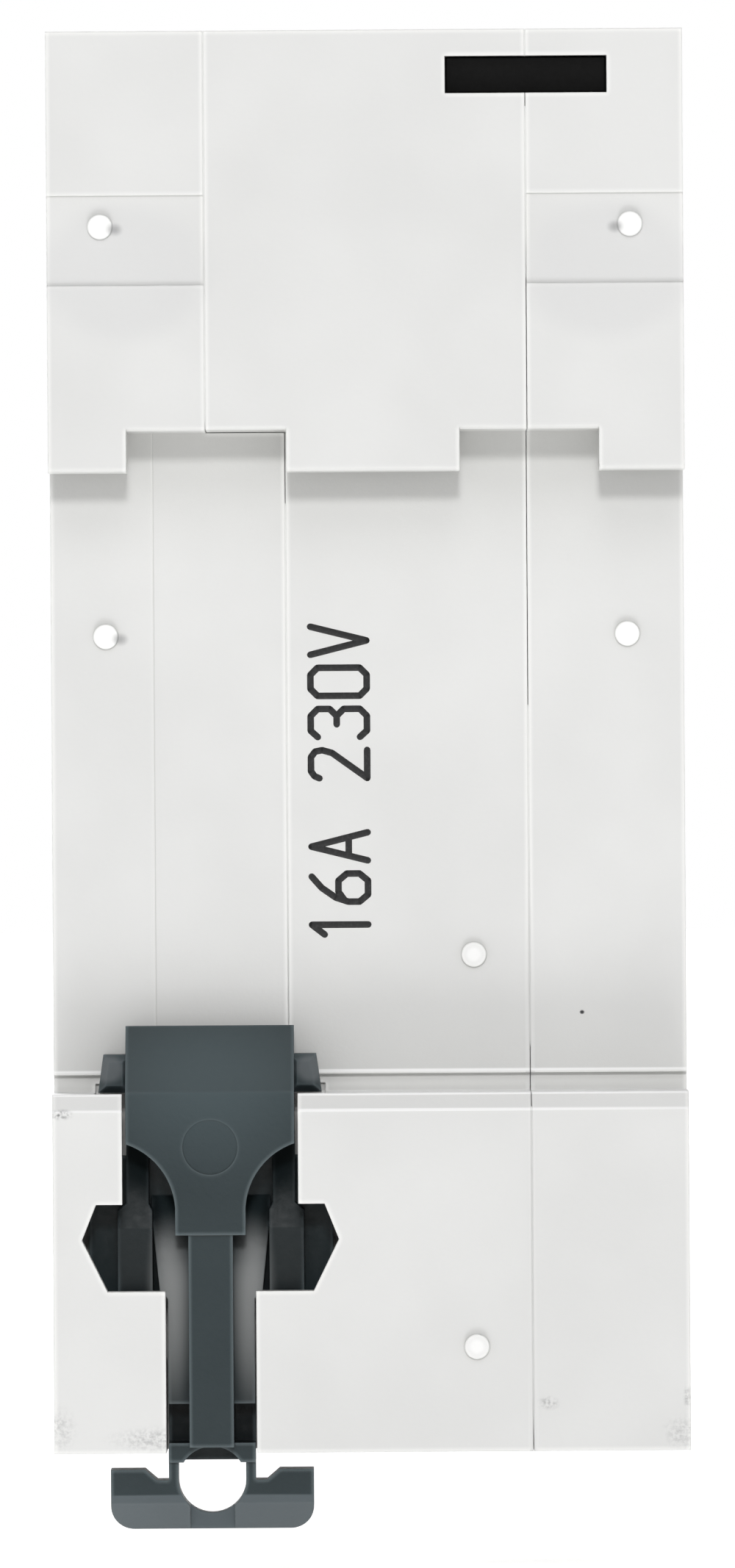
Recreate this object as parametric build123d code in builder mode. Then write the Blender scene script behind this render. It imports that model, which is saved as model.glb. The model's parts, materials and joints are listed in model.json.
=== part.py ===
"""Two-module residual-current circuit breaker for a 35 mm top-hat rail.

Frame: millimetres, +Z up as mounted, -Y towards the person at the panel, +X to
that person's right. The origin is the centre of the rail seat: Y = 0 is the
plane that the rail's flanges bear on, Z = 0 the middle of the rail and X = 0
the middle of the width. The switching module is at -X, the residual-current
module, behind which the rail clip slides, at +X.
"""

from build123d import *

import os
from math import atan2, cos, degrees, radians, sin, sqrt

os.makedirs("parts", exist_ok=True)

# ------------------------------------------------------------ driving sizes
half_width = 17.9           # two modules side by side
half_height = 40.0
rear_depth = 5.5            # rear faces stand this far behind the rail plane
shoulder_depth = 44.0       # rail plane to the terminal shoulders
front_depth = 50.0          # rail plane to the front face
front_half = 22.5           # half the height of the raised front
wall = 1.5                  # outer walls of the moulding
side_wall = 1.2             # broad side walls
web = 1.2                   # wall between the two modules
seam_gap = 0.04             # joint line between two mouldings
edge_break = 0.15           # bevel on the edges above the rail
band_depth = 0.15           # shallow bands across the rear
fit = 0.05                  # running clearance of pins and threads
slide_gap = 0.2             # clearance round sliding pieces
seat_gap = 0.3              # gap between a fixed piece and the one it rests beside

module_x = half_width / 2 + 0.1   # centre of each module, where its mouldings meet
switch_x = -module_x
residual_x = module_x
inner = half_width - side_wall    # inside face of the broad sides

# rail seat
rail_edge = 17.5            # half of the 35 mm rail
hook_overlap = 2.3
hook_gap = 1.3              # room for the rail flange in front of a hook
hook_spans = [(-half_width, 4.8 - half_width), (-5.25, 4.5), (half_width - 4.4, half_width)]
seat_end = -18.8            # lower end of the seat floor
groove_width = 1.0
groove_depth = 0.6
lip_rise, lip_set = 1.0, 0.5     # bevel on the lower lip of the seat
seat_wall = 2.1             # thickness of the seat floor
tongue_edge = 4.6           # where the right cover's floor tongue ends
floor_step = (half_width - 5.8, 0.05)   # edge and height of the raised strip of the seat floor

# terminals
partition = 1.2             # walls round the terminal chambers
terminal_rear = 18.4        # the wall behind the terminals starts here
terminal_z = half_height - 8.4
screw_radius = 2.5
head_radius, head_height = 3.6, 2.6
head_front = shoulder_depth - 1.8
access_radius = 3.3
collar_half = 4.6
cage_x, cage_z = 9.2, 11.6
cage_front = shoulder_depth - 11.0
cage_front_wall = 3.0
cage_mouth = 8.5
cage_rear_wall = 1.5
cage_side_wall = 1.3
cage_lift = 4.8
bar_front = shoulder_depth - 14.2
bar_thickness = 1.6
bar_width = 6.2
bar_end = half_height - 2.6
entry_x, entry_y = 8.4, 8.8

# mechanism space above and below the centre, as the terminal chambers leave it
main_half = terminal_z - cage_z / 2 - seat_gap - 2 * partition
front_cavity_half = front_half - wall

# rail clip
clip_x = residual_x
clip_travel = 3.0
clip_face = 5.2             # rear face of the clip's flat
clip_plate = 2.2            # thickness of that flat
plate_front = 3.7           # inner face of the rear plate that keeps the clip in
pocket_floor = -1.0
pocket_half = 7.6
pocket_end = 5.2 - half_height
head_half = 4.75
lug_reach, lug_low = 6.3, -19.75
lug_stop = lug_low - clip_travel - seat_gap   # how low the lugs come
stem_half = 2.45
bar_half = 1.25
floor_low, floor_high = -0.8, 0.6   # the clip's base plate
tab_half = 5.72
tab_height = 3.4
tab_end = -half_height - 4.4
tab_top = tab_end + tab_height
stem_end = -half_height - 0.6
tongue_top, tongue_end = -25.6, stem_end + 3.3
tongue_flare, tongue_neck = 3.35, 2.9

# front controls
toggle_y, toggle_z = 4.0 - front_depth, 0.0
toggle_radius = 7.0
toggle_width = 10.0
toggle_half_angle = 40.0
paddle_reach = 15.5
pin_radius = 1.25
button_half = 3.0
button_z = 11.0
button_proud = 1.2
button_travel = 1.8
flag_z = 14.8
flag_half_x, flag_half_z = 3.2, 1.7
flag_travel = 3.6

# switch linkage, worked out from the middle of its travel
crank = 3.0
link_radius = 0.6
link_x = -web / 2 - 1.8
carrier_axis = (-26.733, -7.521)
contact_swing = 22.0
contact_reach = 13.5
contact_closed = -21.7      # direction of the contact arms when closed
arm_half = 0.8              # half the thickness of a contact arm
pad_height = 0.8
pad_half = 1.3
hub_radius = 3.6
hub_span = (-inner + 1.7, link_x - 1.0)
carrier_pin_radius = 1.0
phase_x, neutral_x = switch_x - 2.15, switch_x + 4.05
phase_half, neutral_half = 1.5, 1.2

toggle_axis = (toggle_y, toggle_z)
crank_shift = crank * sin(radians(toggle_half_angle))
carrier_arm = crank_shift / sin(radians(contact_swing / 2))
link_rise = crank * (1 - cos(radians(toggle_half_angle))) + carrier_arm * (
    1 - cos(radians(contact_swing / 2))
)
# in the middle of the travel the crank and the carrier's arm both stand square to the link
axis_shift = (carrier_axis[0] - toggle_axis[0], carrier_axis[1] - toggle_axis[1])
link_length = sqrt(axis_shift[0] ** 2 + axis_shift[1] ** 2 - (crank + carrier_arm) ** 2)
link_tilt = degrees(
    atan2(axis_shift[1], axis_shift[0]) + atan2(crank + carrier_arm, link_length)
)
crank_rest = link_tilt - 90 + toggle_half_angle
joint_rest = link_tilt + 90 - contact_swing / 2
contact_rest = contact_closed - contact_swing

# trip parts
coil_x, coil_y = phase_x, -13.0
coil_low, coil_high = 6.0, main_half - 3.9
coil_bore = 2.1
coil_tube = 2.9
coil_radius = 4.9
coil_turns = 3
flange_radius = 5.2
flange_height = 0.8
yoke_thickness = 1.2
plunger_travel = 2.5
lever_axis = (-31.5, 6.5)
lever_pin_radius = 0.8
lever_hub = 2.0
lever_span = (coil_x - 0.3, coil_x + 3.7)
lever_top = coil_low - yoke_thickness - 2 * slide_gap   # top of the arm under the plunger
lever_thickness = 1.5

# rivets run right across the breaker at these (Y, Z) places
rivet_radius = 1.5
rivet_head_radius, rivet_head_height = 2.6, 0.5
post_half = 2.4             # half the side of the posts that they go through
rivet_front, rivet_up = 4.0 - shoulder_depth, front_half - 3.5
rivet_places = [
    (-6.0, half_height - 4.0),
    (-6.0, 4.0 - half_height),
    (rivet_front, rivet_up),
    (rivet_front, -rivet_up),
]

# residual-current parts
board_span = (inner - 2.1, inner - 1.1)
board_front = front_depth - 8.0
board_rear = 8.5
board_half = main_half - 2.4
core_centre = (-13.0, 9.0)
core_radius, core_bore = 8.0, 3.6
relay_place = (-33.0, -10.0)
relay_half = 5.5
relay_face = board_span[0] - 9.6


def block(x_span, y_span, z_span, mode=Mode.ADD):
    """A box between two values on each axis, in the part being built."""
    spans = (x_span, y_span, z_span)
    centre = tuple((low + high) / 2 for low, high in spans)
    with Locations(centre):
        Box(*(high - low for low, high in spans), mode=mode)


def rod_x(place, radius, x_span, mode=Mode.ADD):
    """A cylinder along X, at a (Y, Z) place, in the part being built."""
    with Locations(Location(((x_span[0] + x_span[1]) / 2, *place), (0, 90, 0))):
        Cylinder(radius, x_span[1] - x_span[0], mode=mode)


def rod_y(place, radius, y_span, mode=Mode.ADD):
    """A cylinder along Y, at an (X, Z) place, in the part being built."""
    centre = (place[0], (y_span[0] + y_span[1]) / 2, place[1])
    with Locations(Location(centre, (90, 0, 0))):
        Cylinder(radius, y_span[1] - y_span[0], mode=mode)


def rod_z(place, radius, z_span, mode=Mode.ADD):
    """A cylinder along Z, at an (X, Y) place, in the part being built."""
    with Locations((*place, (z_span[0] + z_span[1]) / 2)):
        Cylinder(radius, z_span[1] - z_span[0], mode=mode)


def post_x(place, half, x_span, mode=Mode.ADD):
    """A square post along X, at a (Y, Z) place, in the part being built."""
    block(x_span, (place[0] - half, place[0] + half), (place[1] - half, place[1] + half), mode)


def profile_x(points, x_span, mode=Mode.ADD):
    """An outline in Y and Z carried along X, in the part being built."""
    with BuildSketch(Plane.YZ.offset(x_span[0])) as outline:
        with BuildLine():
            Polyline(*points, close=True)
        make_face()
    extrude(outline.sketch, amount=x_span[1] - x_span[0], mode=mode)


def profile_y(points, y_span, mode=Mode.ADD):
    """An outline in X and Z carried along Y, in the part being built."""
    with BuildSketch(Plane.XZ.offset(-y_span[1])) as outline:
        with BuildLine():
            Polyline(*points, close=True)
        make_face()
    extrude(outline.sketch, amount=y_span[1] - y_span[0], mode=mode)


def polar(centre, radius, angle, side=0.0):
    """A point at a radius and an angle in degrees from a centre, moved sideways."""
    way = (cos(radians(angle)), sin(radians(angle)))
    return (
        centre[0] + radius * way[0] - side * way[1],
        centre[1] + radius * way[1] + side * way[0],
    )


def save(piece, name):
    """Labels a finished piece and writes its STEP file."""
    piece.label = name
    export_step(piece, f"parts/{name}.step")


# ------------------------------------------------------------ housing, outside
lip = seat_end - groove_width
with BuildPart() as housing:
    with BuildSketch(Plane.YZ.offset(-half_width)) as side:
        with BuildLine():
            Polyline(
                (0, rail_edge),
                (rear_depth - edge_break, rail_edge),
                (rear_depth, rail_edge + edge_break),
                (rear_depth, half_height),
                (-shoulder_depth, half_height),
                (-shoulder_depth, front_half),
                (-front_depth, front_half),
                (-front_depth, -front_half),
                (-shoulder_depth, -front_half),
                (-shoulder_depth, -half_height),
                (rear_depth, -half_height),
                (rear_depth, lip - lip_rise),
                (rear_depth - lip_set, lip),
                (-groove_depth, lip),
                (-groove_depth, seat_end),
                (0, seat_end),
                close=True,
            )
        make_face()
    extrude(amount=2 * half_width)
    front_edges = housing.edges().filter_by(Axis.X).group_by(Axis.Y)[0]
    fillet(front_edges, radius=min(1.2, 0.45 * (front_depth - shoulder_depth)))
    shoulder_edges = (
        housing.edges()
        .filter_by(Axis.X)
        .filter_by(lambda edge: abs(edge.center().Y + shoulder_depth) < 0.01)
        .filter_by(lambda edge: abs(edge.center().Z) > half_height - 0.01)
    )
    fillet(shoulder_edges, radius=2.0)
    for low, high in hook_spans:
        hook_end = rail_edge - hook_overlap
        hook_profile = [
            (hook_gap, rail_edge + 0.5),
            (hook_gap, hook_end + 0.3),
            (hook_gap + 0.3, hook_end),
            (rear_depth - edge_break, hook_end),
            (rear_depth, hook_end + edge_break),
            (rear_depth, rail_edge + 0.5),
        ]
        profile_x(hook_profile, (low, high))
    # a thin raised strip of the seat floor on the right cover
    block((floor_step[0], half_width), (-0.5, floor_step[1]), (seat_end, rail_edge))
    # shallow bands across the outer halves of the upper rear face
    for low, high in ((module_x, half_width + 1), (-half_width - 1, -module_x)):
        band = (half_height - 14.3, half_height - 9.25)
        block((low, high), (rear_depth - band_depth, rear_depth + 1), band, Mode.SUBTRACT)

    # hollow of each module: mechanism, front box, rear corners, terminal chambers
    for low, high in ((web / 2, inner), (-inner, -web / 2)):
        block((low, high), (-shoulder_depth + wall, -seat_wall), (-main_half, main_half), Mode.SUBTRACT)
        block(
            (low, high),
            (-front_depth + wall, -shoulder_depth + wall),
            (-front_cavity_half, front_cavity_half),
            Mode.SUBTRACT,
        )
        corner = (main_half + partition, half_height - wall)
        block((low, high), (-terminal_rear, rear_depth - wall), corner, Mode.SUBTRACT)
        corner_rear = pocket_floor - wall if low > 0 else rear_depth - wall
        block((low, high), (-terminal_rear, corner_rear), (-corner[1], -corner[0]), Mode.SUBTRACT)
    chamber = cage_x / 2 + slide_gap
    chamber_near = terminal_z - cage_z / 2 - seat_gap
    entry_y_centre = -(bar_front - bar_thickness + cage_front - cage_front_wall - cage_mouth) / 2
    for x in (switch_x, residual_x):
        for sign in (-1, 1):
            z_span = sorted((sign * chamber_near, sign * (half_height - wall)))
            y_span = (-shoulder_depth + wall, -terminal_rear - partition)
            block((x - chamber, x + chamber), y_span, z_span, Mode.SUBTRACT)
            # collar round the screw's head, then its bore
            screw_place = (x, sign * terminal_z)
            head_rear = -head_front + head_height
            block(
                (x - collar_half, x + collar_half),
                (-shoulder_depth + wall - 0.5, head_rear + 0.4),
                (sign * terminal_z - collar_half, sign * terminal_z + collar_half),
            )
            bore = head_radius + 3 * fit
            rod_y(screw_place, bore, (-shoulder_depth + wall, head_rear + 0.5), Mode.SUBTRACT)
            rod_y(screw_place, access_radius, (-shoulder_depth - 1, head_rear), Mode.SUBTRACT)
            # slot for the current bar through the partition
            slot = bar_width / 2 + slide_gap
            z_span = sorted((sign * (main_half - 0.5), sign * (chamber_near + 0.5)))
            y_span = (-bar_front - slide_gap, -bar_front + bar_thickness + slide_gap)
            block((x - slot, x + slot), y_span, z_span, Mode.SUBTRACT)
            # conductor entry, with a bevelled mouth
            with BuildSketch(Plane.XY.offset(sign * (half_height - wall - 0.5))):
                with Locations((x, entry_y_centre)):
                    RectangleRounded(entry_x, entry_y, 1.2)
            extrude(amount=sign * (wall + 1), mode=Mode.SUBTRACT)
    for sign in (-1, 1):
        mouth_edges = (
            housing.faces()
            .filter_by(Axis.Z)
            .sort_by(Axis.Z)[0 if sign < 0 else -1]
            .inner_wires()
            .edges()
        )
        chamfer(mouth_edges, length=0.6)

    # posts inside, for the rivets and the pins
    for place in rivet_places:
        post_x(place, post_half, (-half_width + 0.5, half_width - 0.5))
    for place, half in ((toggle_axis, 2.2), (carrier_axis, 2.2), (lever_axis, 1.7)):
        post_x(place, half, (-inner - 0.5, -inner + 1.6))
        post_x(place, half, (-web / 2 - 1.0, 0))
    for place in rivet_places:
        rod_x(place, rivet_radius + fit, (-half_width - 1, half_width + 1), Mode.SUBTRACT)
        recess = rivet_head_radius + 0.15
        depth = rivet_head_height + 0.1
        rod_x(place, recess, (-half_width - 1, -half_width + depth), Mode.SUBTRACT)
        rod_x(place, recess, (half_width - depth, half_width + 1), Mode.SUBTRACT)
    for place, radius in (
        (toggle_axis, pin_radius),
        (carrier_axis, carrier_pin_radius),
        (lever_axis, lever_pin_radius),
    ):
        rod_x(place, radius + fit, (-inner - 0.4, -web / 2 + 0.4), Mode.SUBTRACT)

    # openings in the front
    front_cut = (-front_depth - 1, -front_depth + wall + 0.5)
    slot = toggle_width / 2 + slide_gap
    slot_z = toggle_radius + slide_gap
    block((switch_x - slot, switch_x + slot), front_cut, (-slot_z, slot_z), Mode.SUBTRACT)
    hole = button_half + slide_gap / 2
    block(
        (residual_x - hole, residual_x + hole),
        front_cut,
        (button_z - hole, button_z + hole),
        Mode.SUBTRACT,
    )
    block(
        (switch_x - flag_half_x, switch_x + flag_half_x),
        front_cut,
        (flag_z - flag_half_z, flag_z + flag_half_z),
        Mode.SUBTRACT,
    )

    # holes through the web for the relay's plunger and the neutral conductor
    rod_x(relay_place, 1.3, (-web, web), Mode.SUBTRACT)
    cross_hole = (main_half - 2.2, main_half - 0.2)
    block((-web, web), (-11.8, -8.0), cross_hole, Mode.SUBTRACT)

    # arc vents through the lower partition and the lower end
    for y in (-10.6, -8.0, -5.4):
        z_span = (-main_half - partition - 0.5, -main_half + 0.5)
        block((phase_x - 3.8, phase_x + 2.7), (y - 0.6, y + 0.6), z_span, Mode.SUBTRACT)
    for y in (-16.0, -13.5, -11.0):
        z_span = (-half_height - 1, -half_height + wall + 0.5)
        block((switch_x - 5.45, switch_x + 5.45), (y - 0.6, y + 0.6), z_span, Mode.SUBTRACT)

    # narrow slot near the top of the rear face
    blank_x = (switch_x - 4.6, switch_x + 4.5)
    blank_z = (half_height - 3.6, half_height - wall)
    block(blank_x, (rear_depth - wall - 0.5, rear_depth + 1), blank_z, Mode.SUBTRACT)

    # pocket, channel and windows for the rail clip
    channel = head_half + slide_gap
    for half, z_span in (
        (pocket_half, (pocket_end, lug_stop)),
        (lug_reach + slide_gap, (lug_stop - 1, lip + 0.5)),
    ):
        x_span = (clip_x - half, clip_x + half)
        block(x_span, (pocket_floor, plate_front), z_span, Mode.SUBTRACT)
    block((clip_x - channel, clip_x + channel), (0, rear_depth + 1), (-26.0, lip + 0.5), Mode.SUBTRACT)
    window = [(6.43, -26.0), (7.23, -28.0), (5.8, -30.9), (-5.8, -30.9), (-7.23, -28.0), (-6.43, -26.0)]
    profile_y([(clip_x + x, z) for x, z in window], (0, rear_depth + 1), Mode.SUBTRACT)
    stem_way = stem_half + slide_gap / 2
    block(
        (clip_x - stem_way, clip_x + stem_way),
        (pocket_floor, rear_depth + 1),
        (-half_height - 1, pocket_end + 4.3),
        Mode.SUBTRACT,
    )

    # small round pips left on the rear faces
    for x, z, y in (
        (half_width - 3.0, half_height - 11.0, rear_depth - band_depth),
        (3.0 - half_width, half_height - 11.0, rear_depth - band_depth),
        (half_width - 3.1, 6.0, floor_step[1]),
        (3.2 - half_width, 6.0, 0),
        (switch_x + 3.15, -12.1, 0),
        (switch_x + 3.15, 5.9 - half_height, rear_depth),
    ):
        rod_y((x, z), 0.7, (y - 0.3, y + 0.25))

# ------------------------------------------------------------ housing, in three mouldings
far = 70.0
half_seam = seam_gap / 2
with BuildPart() as right_region:
    block((module_x + half_seam, far), (-far, far), (-far, far))
    block((tongue_edge + half_seam, module_x + 1), (-seat_wall + half_seam, far), (seat_end, rail_edge))

with BuildPart() as right_cover:
    add(housing.part)
    add(right_region.part, mode=Mode.INTERSECT)
save(right_cover.part, "right_cover")

with BuildPart() as left_cover:
    add(housing.part)
    block((-far, -module_x - half_seam), (-far, far), (-far, far), Mode.INTERSECT)
save(left_cover.part, "left_cover")

with BuildPart() as centre_body:
    add(housing.part)
    block((-module_x + half_seam, module_x - half_seam), (-far, far), (-far, far), Mode.INTERSECT)
    block(
        (tongue_edge - half_seam, far),
        (-seat_wall - half_seam, far),
        (seat_end - seam_gap, rail_edge + seam_gap),
        Mode.SUBTRACT,
    )
save(centre_body.part, "centre_body")

with BuildPart() as housing_rivets:
    for place in rivet_places:
        end = half_width - 0.1
        rod_x(place, rivet_radius, (-end, end))
        for sign in (-1, 1):
            x_span = sorted((sign * end, sign * (end - rivet_head_height)))
            rod_x(place, rivet_head_radius, x_span)
save(housing_rivets.part, "housing_rivets")

with BuildPart() as slot_blank:
    block(
        (blank_x[0] + 0.1, blank_x[1] - 0.1),
        (rear_depth - wall - 0.1, rear_depth - 0.6),
        (blank_z[0] + 0.1, blank_z[1] - 0.1),
    )
    block(
        (blank_x[0] - 0.7, blank_x[1] + 0.7),
        (rear_depth - wall - 1.1, rear_depth - wall - 0.1),
        (blank_z[0] - 0.7, blank_z[1] - 0.1),
    )
save(slot_blank.part, "slot_blank")

# ------------------------------------------------------------ rail clip
# the clip's side lugs, bevelled towards the wall
with BuildPart() as clip_lugs:
    lug = [(4.5, -17.6), (lug_reach - 0.3, -17.6), (lug_reach, lug_low), (4.5, lug_low)]
    for sign in (-1, 1):
        profile_y([(clip_x + sign * x, z) for x, z in lug], (0.3, 3.3))
    chamfer(clip_lugs.faces().filter_by(Axis.Y).group_by(Axis.Y)[-1].edges(), length=0.4)

# two spring arms with feet, rising from the base plate as they go down
with BuildPart() as clip_arms:
    arm = [(3.5, -22.0), (4.77, -22.0), (4.77, -26.0), (5.25, -26.4)]
    arm += [(5.25, -31.3), (3.3, -31.3), (3.3, -26.4), (3.5, -26.0)]
    for sign in (-1, 1):
        profile_y([(clip_x + sign * x, z) for x, z in arm], (floor_high - 0.1, 3.0))
    rise = [(1.0, -21.0), (1.0, -22.6), (3.0, -27.4), (3.6, -27.4), (3.6, -21.0)]
    profile_x(rise, (clip_x - 6, clip_x + 6), Mode.SUBTRACT)

# the two tongues: they sweep up steeply, then run level down the stem
with BuildPart() as clip_tongues:
    with BuildSketch(Plane.YZ.offset(clip_x - tongue_flare)):
        with BuildLine():
            Line((floor_high - 0.1, tongue_top), (floor_high, tongue_top))
            Spline(
                (floor_high, tongue_top),
                (2.2, tongue_top - 2.8),
                (2.95, tongue_top - 6.0),
                (3.2, tongue_end),
                tangents=((0.6, -1), (0.0, -1)),
            )
            Line((3.2, tongue_end), (floor_high - 0.1, tongue_end))
            Line((floor_high - 0.1, tongue_end), (floor_high - 0.1, tongue_top))
        make_face()
    extrude(amount=2 * tongue_flare)
    flank = [
        (tongue_flare, tongue_top + 1),
        (tongue_flare, tongue_top - 1.0),
        (tongue_neck, -30.9),
        (stem_half, -31.4),
        (stem_half, tongue_end - 1),
    ]
    outline = [(clip_x + x, z) for x, z in flank] + [(clip_x - x, z) for x, z in reversed(flank)]
    profile_y(outline, (-5, 5), Mode.INTERSECT)

with BuildPart() as din_clip:
    # flat rear plate with waisted shoulders, running into the neck
    with BuildSketch(Plane.XZ.offset(-clip_face)):
        with BuildLine():
            Line((clip_x - head_half, -19.7), (clip_x + head_half, -19.7))
            Line((clip_x + head_half, -19.7), (clip_x + head_half, -22.6))
            ThreePointArc((clip_x + head_half, -22.6), (clip_x + 2.72, -24.1), (clip_x + 1.98, -26.2))
            Line((clip_x + 1.98, -26.2), (clip_x + 1.98, -27.75))
            Line((clip_x + 1.98, -27.75), (clip_x - 1.98, -27.75))
            Line((clip_x - 1.98, -27.75), (clip_x - 1.98, -26.2))
            ThreePointArc((clip_x - 1.98, -26.2), (clip_x - 2.72, -24.1), (clip_x - head_half, -22.6))
            Line((clip_x - head_half, -22.6), (clip_x - head_half, -19.7))
        make_face()
    extrude(amount=clip_plate)
    # ramped nose that snaps behind the rail's lower flange
    nose = [
        (1.15, -16.3),
        (1.4, -16.0),
        (1.9, -16.0),
        (clip_face, -19.7),
        (clip_face, -20.5),
        (1.15, -20.5),
    ]
    profile_x(nose, (clip_x - head_half, clip_x + head_half))
    # core that joins the nose to the base plate inside the pocket
    block((clip_x - head_half, clip_x + head_half), (floor_low, clip_face - 1), (-22.6, -20.2))
    # side lugs, on a bar behind the nose
    add(clip_lugs.part)
    block((clip_x - head_half, clip_x + head_half), (0.3, 2.0), (-20.5, -17.6))
    # base plate: wide behind the windows, then a narrow stem
    plate_top = lug_stop - seat_gap
    block((clip_x - 6.9, clip_x + 6.9), (floor_low, floor_high), (-31.4, plate_top))
    block((clip_x - head_half, clip_x + head_half), (floor_low, floor_high), (plate_top - 1, -22.0))
    block((clip_x - stem_half, clip_x + stem_half), (floor_low, floor_high), (stem_end, -31.0))
    add(clip_arms.part)
    # raised bar down the stem with its tongues, then the end wall and the pull tab
    block((clip_x - bar_half, clip_x + bar_half), (floor_high - 0.1, 5.0), (stem_end + 0.9, -22.0))
    add(clip_tongues.part)
    block((clip_x - stem_half, clip_x + stem_half), (floor_low, 3.5), (stem_end, stem_end + 1.1))
    for sign in (-1, 1):
        x_span = sorted((clip_x + sign * 1.9, clip_x + sign * stem_half))
        block(x_span, (0.2, 3.2), (tab_top - 1.5, stem_end + 0.3))
    with BuildSketch(Plane.YZ.offset(clip_x - tab_half)):
        with BuildLine():
            Polyline(
                (0.2, tab_top),
                (3.2, tab_top),
                (3.2, tab_top - 1.9),
                (1.7, tab_end),
                (0.2, tab_end),
                close=True,
            )
        make_face()
    extrude(amount=2 * tab_half)
    hollow = [
        (3.8, tab_top + 0.2),
        (3.8, tab_top),
        (3.1, tab_top - 0.6),
        (stem_half, tab_top - 0.6),
        (stem_half, tab_top + 0.2),
    ]
    for sign in (-1, 1):
        profile_y([(clip_x + sign * x, z) for x, z in hollow], (-0.5, 4), Mode.SUBTRACT)
    block((clip_x - 1.9, clip_x + 1.9), (-0.5, 4), (tab_top - 0.6, stem_end), Mode.SUBTRACT)
    rod_y((clip_x, tab_top - 0.6), 1.9, (-0.5, 4), Mode.SUBTRACT)
    # the bevel is cut back to a flat in the middle
    block((clip_x - bar_half, clip_x + bar_half), (1.7, 4), (tab_end - 1, tab_top - 1.9), Mode.SUBTRACT)
    corners = (
        din_clip.edges()
        .filter_by(Axis.Y)
        .filter_by(lambda edge: abs(edge.center().Z - tab_end) < 0.01)
    )
    fillet(corners, radius=1.3)
    rod_y((clip_x, -22.8), 1.55, (clip_face - 0.07, clip_face + 1), Mode.SUBTRACT)
save(din_clip.part, "din_clip")

# ------------------------------------------------------------ toggle
toggle_rest = 180 + toggle_half_angle
way = (cos(radians(toggle_rest)), sin(radians(toggle_rest)))
toggle_side = switch_x - toggle_width / 2
with BuildPart() as toggle:
    with BuildSketch(Plane(origin=(toggle_side, *toggle_axis), x_dir=(0, *way), z_dir=(1, 0, 0))) as lever:
        with BuildLine():
            Polyline((3.0, -2.6), (paddle_reach, -1.7), (paddle_reach, 2.1), (3.0, 3.0), close=True)
        make_face()
        fillet(lever.vertices().group_by(Axis.X)[-1], radius=1.4)
        Circle(toggle_radius)
    extrude(amount=toggle_width)
    paddle_edges = (
        toggle.edges()
        .filter_by(lambda edge: abs((edge @ 0).X - (edge @ 1).X) < 0.01)
        .filter_by(lambda edge: abs(edge.center() - Vector(edge.center().X, *toggle_axis)) > toggle_radius + 0.3)
    )
    chamfer(paddle_edges, length=0.9)
    rod_x(toggle_axis, pin_radius + fit, (-inner, 0), Mode.SUBTRACT)
    crank_place = polar(toggle_axis, crank, crank_rest)
    x_end = switch_x + toggle_width / 2
    rod_x(crank_place, link_radius + fit, (x_end - 2.5, x_end + 1), Mode.SUBTRACT)
save(toggle.part, "toggle")

with BuildPart() as toggle_pin:
    rod_x(toggle_axis, pin_radius, (-inner - 0.3, -web / 2 + 0.3))
save(toggle_pin.part, "toggle_pin")

# ------------------------------------------------------------ linkage and contacts
joint_place = polar(carrier_axis, carrier_arm, joint_rest)
with BuildPart() as drive_link:
    with BuildLine():
        Polyline(
            (x_end - 2.2, *crank_place),
            (link_x, *crank_place),
            (link_x, *joint_place),
            (hub_span[1] - 2.4, *joint_place),
        )
    with BuildSketch(Plane(origin=(x_end - 2.2, *crank_place), z_dir=(1, 0, 0))):
        Circle(link_radius)
    sweep(transition=Transition.RIGHT)
save(drive_link.part, "drive_link")


def contact_arm(x_centre, half):
    """A moving contact, open: a copper arm with a raised pad near its tip."""
    reach = contact_reach
    outline = [
        (carrier_pin_radius + 0.8, -arm_half),
        (reach + pad_half, -arm_half),
        (reach + pad_half, arm_half + pad_height),
        (reach - pad_half, arm_half + pad_height),
        (reach - pad_half, arm_half),
        (carrier_pin_radius + 0.8, arm_half),
    ]
    with BuildPart() as arm:
        points = [polar(carrier_axis, along, contact_rest, across) for along, across in outline]
        profile_x(points, (x_centre - half, x_centre + half))
    return arm.part


phase_contact = contact_arm(phase_x, phase_half)
save(phase_contact, "phase_contact")
neutral_contact = contact_arm(neutral_x, neutral_half)
save(neutral_contact, "neutral_contact")

slot_half = link_radius + 0.14
slot_low = carrier_arm - link_rise - slot_half
slot_high = carrier_arm + slot_half
crank_plate = (hub_span[1] - 2.0, hub_span[1])
with BuildPart() as contact_carrier:
    rod_x(carrier_axis, hub_radius, hub_span)
    plate = [(0, -2.6), (0, 2.6), (slot_high + 1.2, 1.9), (slot_high + 1.2, -1.9)]
    profile_x([polar(carrier_axis, *point[:1], joint_rest, point[1]) for point in plate], crank_plate)
    slot_outline = [(slot_low, -slot_half), (slot_low, slot_half), (slot_high, slot_half),
                    (slot_high, -slot_half)]
    profile_x(
        [polar(carrier_axis, along, joint_rest, across) for along, across in slot_outline],
        (crank_plate[0] - 1, crank_plate[1] + 1),
        Mode.SUBTRACT,
    )
    for x_centre, half in ((phase_x, phase_half), (neutral_x, neutral_half)):
        sleeve = [(0, -arm_half - 1), (0, arm_half + 1), (6.5, arm_half + 1), (6.5, -arm_half - 1)]
        points = [polar(carrier_axis, along, contact_rest, across) for along, across in sleeve]
        profile_x(points, (x_centre - half - 0.6, x_centre + half + 0.6))
    add(phase_contact, mode=Mode.SUBTRACT)
    add(neutral_contact, mode=Mode.SUBTRACT)
    rod_x(carrier_axis, carrier_pin_radius + fit, (-inner, 0), Mode.SUBTRACT)
save(contact_carrier.part, "contact_carrier")

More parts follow.
